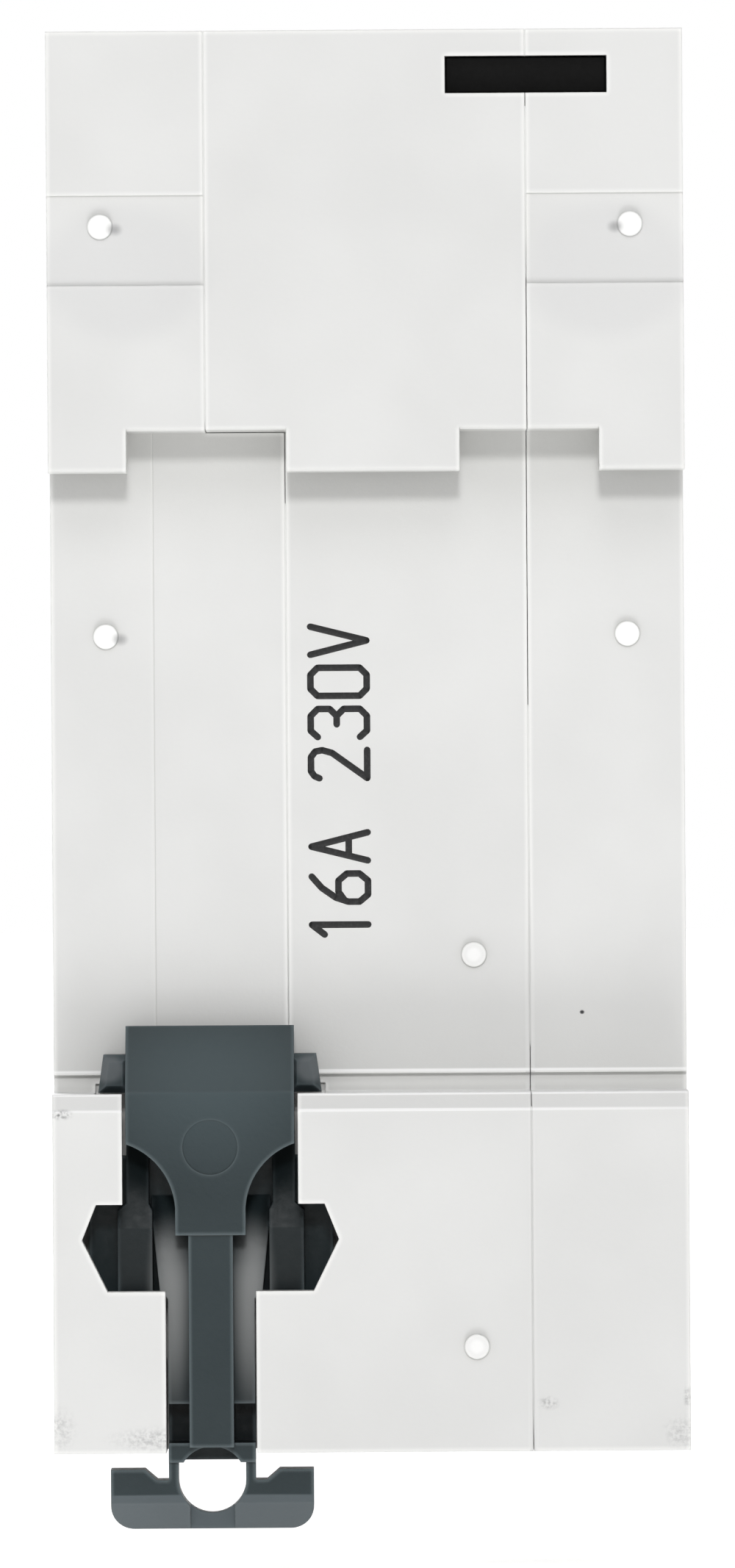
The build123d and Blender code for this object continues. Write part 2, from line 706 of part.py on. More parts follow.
with BuildPart() as contact_pivot_pin:
    rod_x(carrier_axis, carrier_pin_radius, (-inner - 0.3, -web / 2 + 0.3))
save(contact_pivot_pin.part, "contact_pivot_pin")


def fixed_outline(top_points):
    """Outline of a fixed contact: pad, foot and riser, closed by the given top points."""
    face = arm_half + pad_height + fit
    foot = face + pad_height
    reach = contact_reach
    seat = [
        (reach + pad_half, foot),
        (reach + pad_half, face),
        (reach - pad_half, face),
        (reach - pad_half, foot),
        (reach - pad_half - 0.6, foot),
        (reach - pad_half - 0.6, foot + 1.3),
    ]
    return [polar(carrier_axis, along, contact_closed, across) for along, across in seat] + top_points


riser = (-11.4, -10.0)
foot_end = polar(carrier_axis, contact_reach, contact_closed, arm_half + 2 * pad_height + fit + 1.3)
with BuildPart() as phase_fixed_contact:
    top = [
        (riser[0], foot_end[1] + 0.3),
        (riser[0], 4.5),
        (-7.7, 4.5),
        (-7.7, 3.1),
        (riser[1], 3.1),
        (riser[1], foot_end[1] - 1.5),
    ]
    profile_x(fixed_outline(top), (phase_x - phase_half, phase_x + phase_half))
save(phase_fixed_contact.part, "phase_fixed_contact")

with BuildPart() as neutral_fixed_contact:
    top = [
        (riser[0], foot_end[1] + 0.3),
        (riser[0], main_half - 0.6),
        (riser[1], main_half - 0.6),
        (riser[1], foot_end[1] - 1.5),
    ]
    profile_x(fixed_outline(top), (neutral_x - neutral_half, neutral_x + neutral_half))
    block((neutral_x, residual_x + 1), (riser[0], -8.4), (main_half - 1.8, main_half - 0.6))
save(neutral_fixed_contact.part, "neutral_fixed_contact")

# ------------------------------------------------------------ short-circuit trip
with BuildPart() as coil_bobbin:
    rod_z((coil_x, coil_y), coil_tube, (coil_low, coil_high))
    rod_z((coil_x, coil_y), flange_radius, (coil_low, coil_low + flange_height))
    rod_z((coil_x, coil_y), flange_radius, (coil_high - flange_height, coil_high))
    rod_z((coil_x, coil_y), coil_bore, (coil_low - 1, coil_high + 1), Mode.SUBTRACT)
save(coil_bobbin.part, "coil_bobbin")

with BuildPart() as trip_coil:
    low = coil_low + flange_height + 0.1
    pitch = (coil_high - coil_low - 2 * flange_height - 0.2) / coil_turns
    rod_z((coil_x, coil_y), coil_radius - 0.5, (low, low + pitch * coil_turns))
    for turn in range(coil_turns):
        z = low + turn * pitch
        rod_z((coil_x, coil_y), coil_radius, (z + 0.3, z + pitch - 0.3))
    rod_z((coil_x, coil_y), coil_tube + fit, (coil_low, coil_high), Mode.SUBTRACT)
    side_x = coil_x + flange_radius + fit
    block((side_x - 1.6, side_x + 1.3), (coil_y - 0.65, coil_y + 0.65), (coil_high - 2.8, coil_high - 1.5))
    block((side_x, side_x + 1.3), (coil_y - 0.65, coil_y + 0.65), (coil_high - 2.8, main_half - 0.6))
    back_y = coil_y + flange_radius + 0.1
    block((coil_x - 0.65, coil_x + 0.65), (back_y - 1.6, back_y + 1.1), (7.5, 8.8))
    block((coil_x - 0.65, coil_x + 0.65), (back_y, back_y + 1.1), (3.1, 8.8))
save(trip_coil.part, "trip_coil")

with BuildPart() as trip_plunger:
    rod_z((coil_x, coil_y), coil_bore - 0.15, (coil_low + plunger_travel + 0.3, coil_high - 1.8))
    rod_z((coil_x, coil_y), 0.8, (lever_top + slide_gap, coil_low + plunger_travel + 0.5))
save(trip_plunger.part, "trip_plunger")

with BuildPart() as magnet_yoke:
    yoke_x = (coil_x - 3.5, coil_x + 3.5)
    yoke_front = coil_y - flange_radius - 0.1
    outside = [
        (-9.2, coil_low - yoke_thickness),
        (-9.2, coil_low),
        (yoke_front, coil_low),
        (yoke_front, coil_high),
        (-9.2, coil_high),
        (-9.2, coil_high + yoke_thickness),
        (yoke_front - yoke_thickness, coil_high + yoke_thickness),
        (yoke_front - yoke_thickness, coil_low - yoke_thickness),
    ]
    profile_x(outside, yoke_x)
    rod_z((coil_x, coil_y), 1.1, (coil_low - 2, coil_low + 0.5), Mode.SUBTRACT)
save(magnet_yoke.part, "magnet_yoke")

# ------------------------------------------------------------ overload trip
with BuildPart() as bimetal_strip:
    block((coil_x - 1.2, coil_x + 2.8), (-33.4, -32.6), (3.7 - main_half, -1.5))
save(bimetal_strip.part, "bimetal_strip")

with BuildPart() as trip_lever:
    rod_x(lever_axis, lever_hub, lever_span)
    arms = [
        (lever_axis[0] - 1.6, lever_axis[1] + 0.6),
        (lever_axis[0] - 3.9, -1.0),
        (lever_axis[0] - 3.9, -3.2),
        (lever_axis[0] - 2.7, -3.2),
        (lever_axis[0] - 2.5, -1.0),
        (lever_axis[0] + 0.6, lever_axis[1] - 2.0),
        (lever_axis[0] + 7.0, lever_top - lever_thickness),
        (coil_y + 0.8, lever_top - lever_thickness),
        (coil_y + 0.8, lever_top),
        (lever_axis[0] + 9.0, lever_top),
        (lever_axis[0] + 1.0, lever_axis[1] + 1.7),
    ]
    profile_x(arms, (coil_x - 1.5, coil_x + 1.5))
    block((coil_x - 0.5, lever_span[1] - 0.5), (lever_axis[0] - 1, lever_axis[0] + 1),
          (lever_axis[1] - 1.5, lever_axis[1] + 1.5))
    rod_x(lever_axis, lever_pin_radius + fit, (-inner, 0), Mode.SUBTRACT)
save(trip_lever.part, "trip_lever")

with BuildPart() as trip_lever_pin:
    rod_x(lever_axis, lever_pin_radius, (-inner - 0.3, -web / 2 + 0.3))
save(trip_lever_pin.part, "trip_lever_pin")

# ------------------------------------------------------------ arc chute
chute_x = (0.8 - inner, phase_x + 3.8)
chute_y = (-11.9, -3.4)
cheek = 0.5
plates = 8
plate_pitch = 1.3
plate_thickness = 0.7
plate_low = 0.9 - main_half
with BuildPart() as arc_plates:
    for index in range(plates):
        z = plate_low + index * plate_pitch
        block(
            (chute_x[0] + cheek, chute_x[1] - cheek),
            (chute_y[0] + 0.3, chute_y[1]),
            (z, z + plate_thickness),
        )
    mouth = [(phase_x - 2.0, chute_y[0] - 1), (phase_x + 2.0, chute_y[0] - 1), (phase_x, -7.0)]
    with BuildSketch(Plane.XY.offset(-main_half)):
        with BuildLine():
            Polyline(*mouth, close=True)
        make_face()
    extrude(amount=12, mode=Mode.SUBTRACT)
save(arc_plates.part, "arc_plates")

with BuildPart() as arc_chute_cheeks:
    z_span = (0.3 - main_half, plate_low + (plates - 1) * plate_pitch + plate_thickness + 0.2)
    block((chute_x[0], chute_x[0] + cheek), chute_y, z_span)
    block((chute_x[1] - cheek, chute_x[1]), chute_y, z_span)
save(arc_chute_cheeks.part, "arc_chute_cheeks")

# ------------------------------------------------------------ terminals
bar_rear = -bar_front + bar_thickness
bar_tails = {
    "line_in": (-12.0, main_half - 2.2),
    "neutral_in": (-8.4, main_half - 3.4),
    "line_out": (-35.0, 2.1 - main_half),
    "neutral_out": (-20.0, 2.1 - main_half),
}
for name, x, sign in (
    ("line_in", switch_x, 1),
    ("neutral_in", residual_x, 1),
    ("line_out", switch_x, -1),
    ("neutral_out", residual_x, -1),
):
    z = sign * terminal_z
    with BuildPart() as cage:
        outer = (-cage_front, -cage_front + cage_front_wall + cage_mouth + cage_rear_wall)
        block((x - cage_x / 2, x + cage_x / 2), outer, (z - cage_z / 2, z + cage_z / 2))
        mouth = (outer[0] + cage_front_wall, outer[1] - cage_rear_wall)
        reach_x = cage_x / 2 - cage_side_wall
        block((x - reach_x, x + reach_x), mouth, (z - cage_z, z + cage_z), Mode.SUBTRACT)
        vertical = cage.edges().filter_by(Axis.Z).group_by(Axis.Y)
        fillet(vertical[-1], radius=1.0)
        rod_y((x, z), screw_radius + fit, (outer[0] - 1, mouth[0] + 1), Mode.SUBTRACT)
    save(cage.part, f"{name}_cage")

    with BuildPart() as screw:
        rod_y((x, z), head_radius, (-head_front, -head_front + head_height))
        rod_y((x, z), screw_radius, (-head_front + 1, -bar_front - fit))
        slot_y = (-head_front - 1, -head_front + 1.3)
        block((x - head_radius - 1, x + head_radius + 1), slot_y, (z - 0.55, z + 0.55), Mode.SUBTRACT)
        block((x - 0.55, x + 0.55), slot_y, (z - 2.2, z + 2.2), Mode.SUBTRACT)
    save(screw.part, f"{name}_screw")

    with BuildPart() as bar:
        tail_y, tail_z = bar_tails[name]
        tail = (tail_z, tail_z + bar_thickness)
        if sign > 0:
            z_span = (tail[0], bar_end)
        else:
            z_span = (-bar_end, tail[1])
        half = bar_width / 2
        block((x - half, x + half), (-bar_front, bar_rear), z_span)
        y_span = sorted((tail_y, bar_rear if tail_y > -bar_front else -bar_front))
        block((x - half, x + half), y_span, tail)
    save(bar.part, f"{name}_bar")

# ------------------------------------------------------------ test button and position flag
with BuildPart() as test_button:
    x_span = (residual_x - button_half, residual_x + button_half)
    z_span = (button_z - button_half, button_z + button_half)
    block(x_span, (-front_depth - button_proud, -front_depth + wall + 0.6), z_span)
    fillet(test_button.faces().sort_by(Axis.Y)[0].edges(), radius=0.5)
    flange_y = (-front_depth + wall + 0.1, -front_depth + wall + 1.1)
    block(
        (x_span[0] - 0.8, x_span[1] + 0.8),
        flange_y,
        (z_span[0] - 0.8, z_span[1] + 0.8),
    )
    rod_y((residual_x, button_z), 1.2, (flange_y[0], -board_front - 2.4))
save(test_button.part, "test_button")

with BuildPart() as flag_window:
    block(
        (switch_x - flag_half_x + fit, switch_x + flag_half_x - fit),
        (-front_depth, -front_depth + wall + 0.1),
        (flag_z - flag_half_z + fit, flag_z + flag_half_z - fit),
    )
    block(
        (switch_x - flag_half_x - 0.6, switch_x + flag_half_x + 0.6),
        (-front_depth + wall + 0.02, -front_depth + wall + 0.6),
        (flag_z - flag_half_z - 0.6, flag_z + flag_half_z + 0.6),
    )
save(flag_window.part, "flag_window")

with BuildPart() as position_flag:
    flag_y = -front_depth + wall + 0.8
    block(
        (switch_x - flag_half_x, switch_x + flag_half_x),
        (flag_y, flag_y + 0.8),
        (flag_z - flag_half_z - flag_travel, flag_z + flag_half_z),
    )
save(position_flag.part, "position_flag")

# ------------------------------------------------------------ residual-current unit
with BuildPart() as circuit_board:
    block(board_span, (-board_front, -board_rear), (-board_half, board_half))
    for place in rivet_places:
        post_x(place, post_half + seat_gap, (board_span[0] - 1, board_span[1] + 1), Mode.SUBTRACT)
save(circuit_board.part, "circuit_board")

core_x = (board_span[0] - 8.4, board_span[0] - seat_gap)
with BuildPart() as toroid_core:
    rod_x(core_centre, core_radius, core_x)
    chamfer(toroid_core.edges().filter_by(GeomType.CIRCLE), length=0.7)
    rod_x(core_centre, core_bore, (core_x[0] - 1, core_x[1] + 1), Mode.SUBTRACT)
save(toroid_core.part, "toroid_core")

with BuildPart() as trip_relay:
    relay_y = (relay_place[0] - relay_half, relay_place[0] + relay_half)
    relay_z = (relay_place[1] - relay_half, relay_place[1] + relay_half)
    block((relay_face, board_span[0]), relay_y, relay_z)
    chamfer(trip_relay.edges().filter_by(Axis.X), length=0.6)
    rod_x(relay_place, 1.3, (relay_face - 1, relay_face + 4), Mode.SUBTRACT)
save(trip_relay.part, "trip_relay")

with BuildPart() as relay_plunger:
    rod_x(relay_place, 1.1, (-1.0, relay_face + 3.7))
    rod_x(relay_place, 1.8, (relay_face - 1.4, relay_face - 0.4))
save(relay_plunger.part, "relay_plunger")

with BuildPart() as board_capacitor:
    rod_x((-33.0, board_half - 8.7), 3.5, (board_span[0] - 8.0, board_span[0]))
save(board_capacitor.part, "board_capacitor")

with BuildPart() as varistor:
    rod_y((board_span[0] - 4.1, 1.5), 4.0, (-25.1, -22.9))
save(varistor.part, "varistor")

with BuildPart() as board_chips:
    for y, z, length, height in ((-15.0, -8.0, 8.0, 5.0), (-26.0, 13.0, 4.0, 5.0), (-21.0, -15.0, 5.0, 4.0)):
        block(
            (board_span[0] - 1.6, board_span[0]),
            (y - length / 2, y + length / 2),
            (z - height / 2, z + height / 2),
        )
save(board_chips.part, "board_chips")

with BuildPart() as test_contact_blade:
    blade_y = (-board_front - 0.4, -board_front)
    blade_z = (button_z - 1.0, button_z + 1.0)
    block((residual_x - 1.05, board_span[0]), blade_y, blade_z)
    block((board_span[0] - 0.4, board_span[0]), (blade_y[0], blade_y[1] + 2.5), blade_z)
save(test_contact_blade.part, "test_contact_blade")

with BuildPart() as test_resistor:
    rod_z((board_span[0] - 1.6, -38.0), 1.4, (-2.0, 6.0))
save(test_resistor.part, "test_resistor")
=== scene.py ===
# %% [markdown]
# # A residual-current circuit breaker for a top-hat rail
#
# This lesson dresses a breaker whose solids were made in a CAD program. The CAD
# parts come in as a fixed frame: they keep their places and their shapes. What
# Blender adds is what makes a solid look like a thing somebody made: moulded
# plastic with its grain, printed marks, metal finishes, light and a camera.
#
# Everything is in metres. +Z is up as the breaker hangs on its rail, and +Y is
# the side that faces the rail.

# %% Load the frame
import json
import math

import bmesh
import bpy
from mathutils import Matrix, Vector


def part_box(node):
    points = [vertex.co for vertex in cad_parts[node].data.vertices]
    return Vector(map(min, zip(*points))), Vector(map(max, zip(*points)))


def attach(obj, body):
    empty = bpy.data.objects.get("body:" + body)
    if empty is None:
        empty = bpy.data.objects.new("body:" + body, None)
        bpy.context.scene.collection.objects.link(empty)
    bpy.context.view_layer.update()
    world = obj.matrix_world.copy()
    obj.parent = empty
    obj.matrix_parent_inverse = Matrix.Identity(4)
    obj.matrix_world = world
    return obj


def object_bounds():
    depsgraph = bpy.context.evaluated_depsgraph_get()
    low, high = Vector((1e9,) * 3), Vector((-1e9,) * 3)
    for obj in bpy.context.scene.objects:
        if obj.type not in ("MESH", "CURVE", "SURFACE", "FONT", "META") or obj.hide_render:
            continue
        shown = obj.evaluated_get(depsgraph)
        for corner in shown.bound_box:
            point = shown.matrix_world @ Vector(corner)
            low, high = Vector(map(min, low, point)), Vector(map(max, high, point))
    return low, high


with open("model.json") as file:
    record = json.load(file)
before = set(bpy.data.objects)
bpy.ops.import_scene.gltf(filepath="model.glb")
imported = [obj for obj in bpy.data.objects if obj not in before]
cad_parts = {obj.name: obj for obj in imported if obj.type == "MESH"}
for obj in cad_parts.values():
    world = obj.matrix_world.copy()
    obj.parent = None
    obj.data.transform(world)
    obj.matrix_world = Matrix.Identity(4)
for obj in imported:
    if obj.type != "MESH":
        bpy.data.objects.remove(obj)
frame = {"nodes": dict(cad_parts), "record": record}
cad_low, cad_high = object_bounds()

MM = 0.001
nodes = frame["nodes"]
print("CAD box, mm:", [round(v / MM, 1) for v in cad_low], [round(v / MM, 1) for v in cad_high])

# %% [markdown]
# ## Camera
#
# The breaker is looked at from straight behind, with a long lens, so that its
# sides stay out of sight and parallel edges stay parallel. The lens length
# follows from the distance and from the height that the picture has to cover.

# %% Camera
VIEW_DISTANCE = 900 * MM
VIEW_HEIGHT = 88.18 * MM
VIEW_ROLL = -0.38  # degrees
SENSOR_HEIGHT = 36.0  # millimetres, as on a full-frame camera
FAR_CLIP = 20.0
view_target = Vector((0.05, 5.5, -2.42)) * MM

camera_data = bpy.data.cameras.new("long_lens")
camera_data.sensor_fit = "VERTICAL"
camera_data.sensor_height = SENSOR_HEIGHT
camera_data.lens = SENSOR_HEIGHT * VIEW_DISTANCE / VIEW_HEIGHT
camera_data.clip_end = FAR_CLIP
camera = bpy.data.objects.new("camera", camera_data)
bpy.context.scene.collection.objects.link(camera)
facing_the_rear = Matrix(((-1, 0, 0), (0, 0, 1), (0, 1, 0))).to_4x4()
camera.matrix_world = (
    Matrix.Translation(view_target + Vector((0, VIEW_DISTANCE, 0)))
    @ facing_the_rear
    @ Matrix.Rotation(math.radians(VIEW_ROLL), 4, "Z")
)
bpy.context.scene.camera = camera
bpy.context.scene.view_settings.view_transform = "Standard"
print("lens", round(camera_data.lens), "mm")

# %% [markdown]
# ## Nodes and colours
#
# Materials are small networks of nodes. One function adds a node, sets its
# options and joins its inputs. Another turns the colour codes that painters and
# web pages use, which are sRGB, into the linear values that a renderer adds up.
# A third starts a material and hands back the place on the part, in metres from
# the part's own origin, because every pattern here is laid out by that place.

# %% Helpers for materials
def linear(hex_code, alpha=1.0):
    """A colour written as #RRGGBB in sRGB, as linear red, green, blue and alpha."""
    values = [int(hex_code[i:i + 2], 16) / 255 for i in (1, 3, 5)]
    return (*[v / 12.92 if v <= 0.04045 else ((v + 0.055) / 1.055) ** 2.4 for v in values], alpha)


def add_node(tree, kind, inputs=(), **settings):
    """Adds a node; inputs maps socket names or numbers to values or to other sockets."""
    node = tree.nodes.new(kind)
    for name, value in settings.items():
        setattr(node, name, value)
    for name, value in dict(inputs).items():
        socket = node.inputs[name]
        if isinstance(value, bpy.types.NodeSocket):
            tree.links.new(value, socket)
        else:
            socket.default_value = value
    return node


def start_material(name):
    """A new material, its tree, its Principled surface and the socket that gives the place on the part."""
    material = bpy.data.materials.new(name)
    material.use_nodes = True
    tree = material.node_tree
    tree.nodes.clear()
    surface = add_node(tree, "ShaderNodeBsdfPrincipled")
    add_node(tree, "ShaderNodeOutputMaterial", {"Surface": surface.outputs[0]})
    place = add_node(tree, "ShaderNodeTexCoord").outputs["Object"]
    return material, tree, surface, place


print("white is", [round(v, 3) for v in linear("#FFFFFF")])

# %% [markdown]
# ## Light, backdrop and floor
#
# A studio table for small goods: an even white surround, a small lamp a little
# above the camera that draws the short crisp shadows under the rail hooks, a
# wide panel higher up, a reflector low down that lights undersides, and a lamp
# on the far side so that the front is not left dark. Each is a sun with a wide
# angle, because a broad source close to a small thing gives the same soft
# shadow. The surround lights the object only a third as strongly as it shows
# itself, which keeps the white behind the object clean without bleaching it.

# %% What the eye meets
def met_by_eye(tree):
    """The light path node, and a socket that is 1 where the eye looks, straight or by a mirror or a pane."""
    path = add_node(tree, "ShaderNodeLightPath")
    seen = path.outputs["Is Camera Ray"]
    for detour in ("Is Glossy Ray", "Is Transmission Ray"):
        either = add_node(tree, "ShaderNodeMath", {0: seen, 1: path.outputs[detour]}, operation="MAXIMUM")
        seen = either.outputs[0]
    return path, seen


print("backdrop and floor can show white and still light the part less")

# %% World
AMBIENT = 0.34
DIM_END = 0.12  # what a reflection finds at the dim end of the room, which the rear faces
DIM_FROM, DIM_TO = 0.55, 0.9  # how far a reflection points rearward where the dimness starts and is full
world = bpy.data.worlds.new("white_surround")
bpy.context.scene.world = world
world.use_nodes = True
tree = world.node_tree
tree.nodes.clear()
path, seen = met_by_eye(tree)
strength = add_node(tree, "ShaderNodeMapRange", {"Value": seen, "To Min": AMBIENT, "To Max": 1.0})
towards = add_node(tree, "ShaderNodeTexCoord").outputs["Generated"]
rearward = add_node(tree, "ShaderNodeSeparateXYZ", {0: towards}).outputs["Y"]
dim = add_node(tree, "ShaderNodeMapRange",
               {"Value": rearward, "From Min": DIM_FROM, "From Max": DIM_TO, "To Min": 1.0, "To Max": DIM_END},
               interpolation_type="SMOOTHSTEP")
glossy = add_node(tree, "ShaderNodeMix",
                  {0: path.outputs["Is Glossy Ray"], 2: strength.outputs[0], 3: dim.outputs[0]},
                  data_type="FLOAT")
backdrop = add_node(tree, "ShaderNodeBackground", {"Color": linear("#FFFFFF"), "Strength": glossy.outputs[0]})
add_node(tree, "ShaderNodeOutputWorld", {"Surface": backdrop.outputs[0]})
print("surround lights at", AMBIENT)

# %% Lamps
def add_sun(name, towards_lamp, strength, softness, glints=True):
    """A broad lamp far away, in the given direction from the object."""
    lamp = bpy.data.lights.new(name, "SUN")
    lamp.energy = strength
    lamp.angle = math.radians(softness)
    sun = bpy.data.objects.new(name, lamp)
    sun.rotation_mode = "QUATERNION"
    sun.rotation_quaternion = Vector(towards_lamp).to_track_quat("Z", "Y")
    sun.visible_glossy = glints
    bpy.context.scene.collection.objects.link(sun)


# name, height above level in degrees, strength, softness in degrees, and whether it glints
rear_lamps = (("key", 16, 1.1, 6, False), ("high_fill", 37, 0.42, 24, True), ("low_fill", -55, 0.95, 26, True))
for name, height, power, softness, glints in rear_lamps:
    rise = math.radians(height)
    add_sun(name, (0.0, math.cos(rise), math.sin(rise)), power, softness, glints)
add_sun("front_fill", (0.35, -0.85, 0.5), 1.6, 30)
print(len(rear_lamps) + 1, "lamps")

# %% Floor
FLOOR_DROP = 3.2 * MM  # clears the clip, which slides down 3 mm to let go of the rail
FLOOR_REACH = 4.0
FLOOR_GLOW = 0.62  # what the eye meets on top of the lit paper, so that it looks as white as the surround
floor_z = cad_low[2] - FLOOR_DROP
corners = [(-1, -1), (1, -1), (1, 1), (-1, 1)]
floor_mesh = bpy.data.meshes.new("pale_floor")
floor_mesh.from_pydata([(x * FLOOR_REACH, y * FLOOR_REACH, floor_z) for x, y in corners], [], [(0, 1, 2, 3)])
floor = bpy.data.objects.new("pale_floor", floor_mesh)
bpy.context.scene.collection.objects.link(floor)

paper = bpy.data.materials.new("matt_white_paper")
paper.use_nodes = True
tree = paper.node_tree
tree.nodes.clear()
path, seen = met_by_eye(tree)
lit = add_node(tree, "ShaderNodeBsdfDiffuse", {"Color": linear("#F4F4F3")})
shown = add_node(tree, "ShaderNodeEmission", {"Color": linear("#FFFFFF"), "Strength": FLOOR_GLOW})
extra = add_node(tree, "ShaderNodeAddShader", {0: lit.outputs[0], 1: shown.outputs[0]})
mixed = add_node(tree, "ShaderNodeMixShader", {0: seen, 1: lit.outputs[0], 2: extra.outputs[0]})
add_node(tree, "ShaderNodeOutputMaterial", {"Surface": mixed.outputs[0]})
floor_mesh.materials.append(paper)
floor.visible_shadow = False  # the low reflector shines up past it
print("floor at", round(floor_z / MM, 2), "mm")

# %% [markdown]
# ## Moulded plastics
#
# Nearly everything outside is injection-moulded. A mould is spark-eroded to a
# fine matt, so the plastic carries grains of about a quarter of a millimetre,
# and large flat walls cool unevenly, which leaves very wide, very faint
# changes of tone. A mould's edges are never quite sharp, so the shading normal
# is rounded over a tenth of a millimetre or two there. The same edges are
# painted paler, as a painted highlight: rays sent into the solid find another
# face soon only near an outside edge, and that tells the material where to be
# pale. Corners and recesses are painted darker, as painted shade, where rays
# sent outwards find other faces in the same way.

# %% A moulded plastic
OCCLUSION_SAMPLES = 4
BEVEL_SAMPLES = 4
EDGE_HIGHLIGHT_BETWEEN = (0.95, 0.55)  # share of open rays inside the solid, from a plain face to a sharp edge
ROUGHNESS_SWING = 0.06


def moulded_plastic(name, colour, shade, grain_mm=0.28, relief_mm=0.012, roughness=0.5, edge_mm=0.15,
                    mottle_mm=9.0, shine=0.5, edge_highlight_colour=None, edge_highlight_strength=0.5, corner_shade=None, corner_shade_mm=3.0, corner_shade_between=(0.1, 0.55)):
    """An injection-moulded plastic with grain, wide mottling, a painted highlight on outside edges and painted
    shade in corners.
    """
    material, tree, surface, place = start_material(name)
    wide = add_node(tree, "ShaderNodeTexNoise",
                    {"Vector": place, "Scale": 1 / (mottle_mm * MM), "Detail": 2.0, "Roughness": 0.5})
    grain = add_node(tree, "ShaderNodeTexNoise",
                     {"Vector": place, "Scale": 1 / (grain_mm * MM), "Detail": 3.0, "Roughness": 0.55})
    tone = add_node(tree, "ShaderNodeMapRange",
                    {"Value": wide.outputs["Fac"], "From Min": 0.35, "From Max": 0.65})
    pigment = add_node(tree, "ShaderNodeMix",
                       {0: tone.outputs[0], 6: linear(colour), 7: linear(shade)}, data_type="RGBA")
    # painted shade: the colour is mixed towards a darker tone where rays sent outwards soon meet other faces,
    # in corners and recesses
    if corner_shade:
        open_air = add_node(tree, "ShaderNodeAmbientOcclusion", {"Distance": corner_shade_mm * MM},
                            samples=OCCLUSION_SAMPLES)
        settled = add_node(tree, "ShaderNodeMapRange",
                           {"Value": open_air.outputs["AO"], "From Min": corner_shade_between[0], "From Max": corner_shade_between[1],
                            "To Min": 1.0, "To Max": 0.0})
        pigment = add_node(tree, "ShaderNodeMix",
                           {0: settled.outputs[0], 6: pigment.outputs[2], 7: linear(corner_shade)}, data_type="RGBA")
    # painted highlight: the colour is mixed paler near outside edges, where rays sent into the solid soon find
    # another face
    if edge_highlight_colour:
        within = add_node(tree, "ShaderNodeAmbientOcclusion", {"Distance": 2 * edge_mm * MM},
                          samples=OCCLUSION_SAMPLES, inside=True, only_local=True)
        painted_light = add_node(tree, "ShaderNodeMapRange",
                        {"Value": within.outputs["AO"], "From Min": EDGE_HIGHLIGHT_BETWEEN[0],
                         "From Max": EDGE_HIGHLIGHT_BETWEEN[1], "To Min": 0.0, "To Max": edge_highlight_strength})
        pigment = add_node(tree, "ShaderNodeMix",
                           {0: painted_light.outputs[0], 6: pigment.outputs[2], 7: linear(edge_highlight_colour)}, data_type="RGBA")
    tree.links.new(pigment.outputs[2], surface.inputs["Base Color"])
    matt = add_node(tree, "ShaderNodeMapRange",
                    {"Value": grain.outputs["Fac"], "From Min": 0.3, "From Max": 0.7,
                     "To Min": roughness - ROUGHNESS_SWING, "To Max": roughness + ROUGHNESS_SWING})
    tree.links.new(matt.outputs[0], surface.inputs["Roughness"])
    edge = add_node(tree, "ShaderNodeBevel", {"Radius": edge_mm * MM}, samples=BEVEL_SAMPLES)
    relief = add_node(tree, "ShaderNodeBump",
                      {"Height": grain.outputs["Fac"], "Normal": edge.outputs[0],
                       "Distance": relief_mm * MM, "Strength": 1.0})
    tree.links.new(relief.outputs[0], surface.inputs["Normal"])
    surface.inputs["IOR"].default_value = 1.53
    surface.inputs["Specular IOR Level"].default_value = shine
    return material


print("plastics get", OCCLUSION_SAMPLES, "rays for edges and corners")

# %% [markdown]
# The housing and the clip are polyamide, the housing light grey and matt, the
# clip slate and filled with glass fibre, which gives it a coarser skin with a
# little more shine. Inside are polybutylene, nylon, polyester, polycarbonate
# and epoxy, each by its usual colour.

# %% The plastics
# housing and clip both get painted highlights on their outside edges and painted shade in their corners and
# recesses
housing_polyamide = moulded_plastic("moulded_polyamide_light_grey", "#E0E0DF", "#DBDBDA", shine=0.4,
                                    edge_highlight_colour="#F7F7F5", edge_highlight_strength=0.9, corner_shade="#D0D0CE", corner_shade_mm=8.0, corner_shade_between=(0.6, 0.92))
clip_polyamide = moulded_plastic("glass_filled_polyamide_slate", "#2C3639", "#273134",
                                 grain_mm=0.35, relief_mm=0.015, roughness=0.42, shine=0.35, edge_mm=0.12,
                                 edge_highlight_colour="#7F8B8F", edge_highlight_strength=0.45, corner_shade="#14181A", corner_shade_mm=3.0)
blank_polyamide = moulded_plastic("moulded_polyamide_black", "#131313", "#101010", roughness=0.75, shine=0.1)
toggle_polyamide = moulded_plastic("moulded_polyamide_charcoal", "#2E3134", "#2A2D30", roughness=0.4)
button_abs = moulded_plastic("moulded_abs_ivory", "#D9D8D0", "#D3D2CA", roughness=0.38)
mechanism_plastic = moulded_plastic("moulded_polybutylene_black", "#26231F", "#211F1B", roughness=0.45)
bobbin_nylon = moulded_plastic("moulded_nylon_natural", "#DDD6C2", "#D6CEB8", roughness=0.45)
core_case_plastic = moulded_plastic("moulded_polyester_blue", "#23416F", "#1F3B66", roughness=0.45)
relay_case_plastic = moulded_plastic("moulded_polycarbonate_black", "#202022", "#1C1C1E", roughness=0.35)
chip_epoxy = moulded_plastic("transfer_moulded_epoxy", "#1B1B1B", "#171717", grain_mm=0.12, roughness=0.6)
print("ten plastics made")

# %% [markdown]
# Where a mould's ejector pins pushed, the rear keeps small round pips; each is
# whitened as a painted highlight, and some get a painted shade on one side.
# Some faces came out of the mould a shade apart: the shallow side bands are
# duller. The groove of the lower lip is painted lighter, and its three edges
# carry painted highlights. Years in a panel left a few grey rubs. On the clip,
# the head, the tongues and the lower edge of the pull tab carry painted
# highlights, the arms carry painted shade, and the lugs are paler from rubbing.
# All of these are patches of another tone at a place on the part: full inside
# an ellipsoid, fading at its edge, and broken up by noise where the patch is
# dirt.

# %% Patches of another tone
FLECK = 0.25 * MM


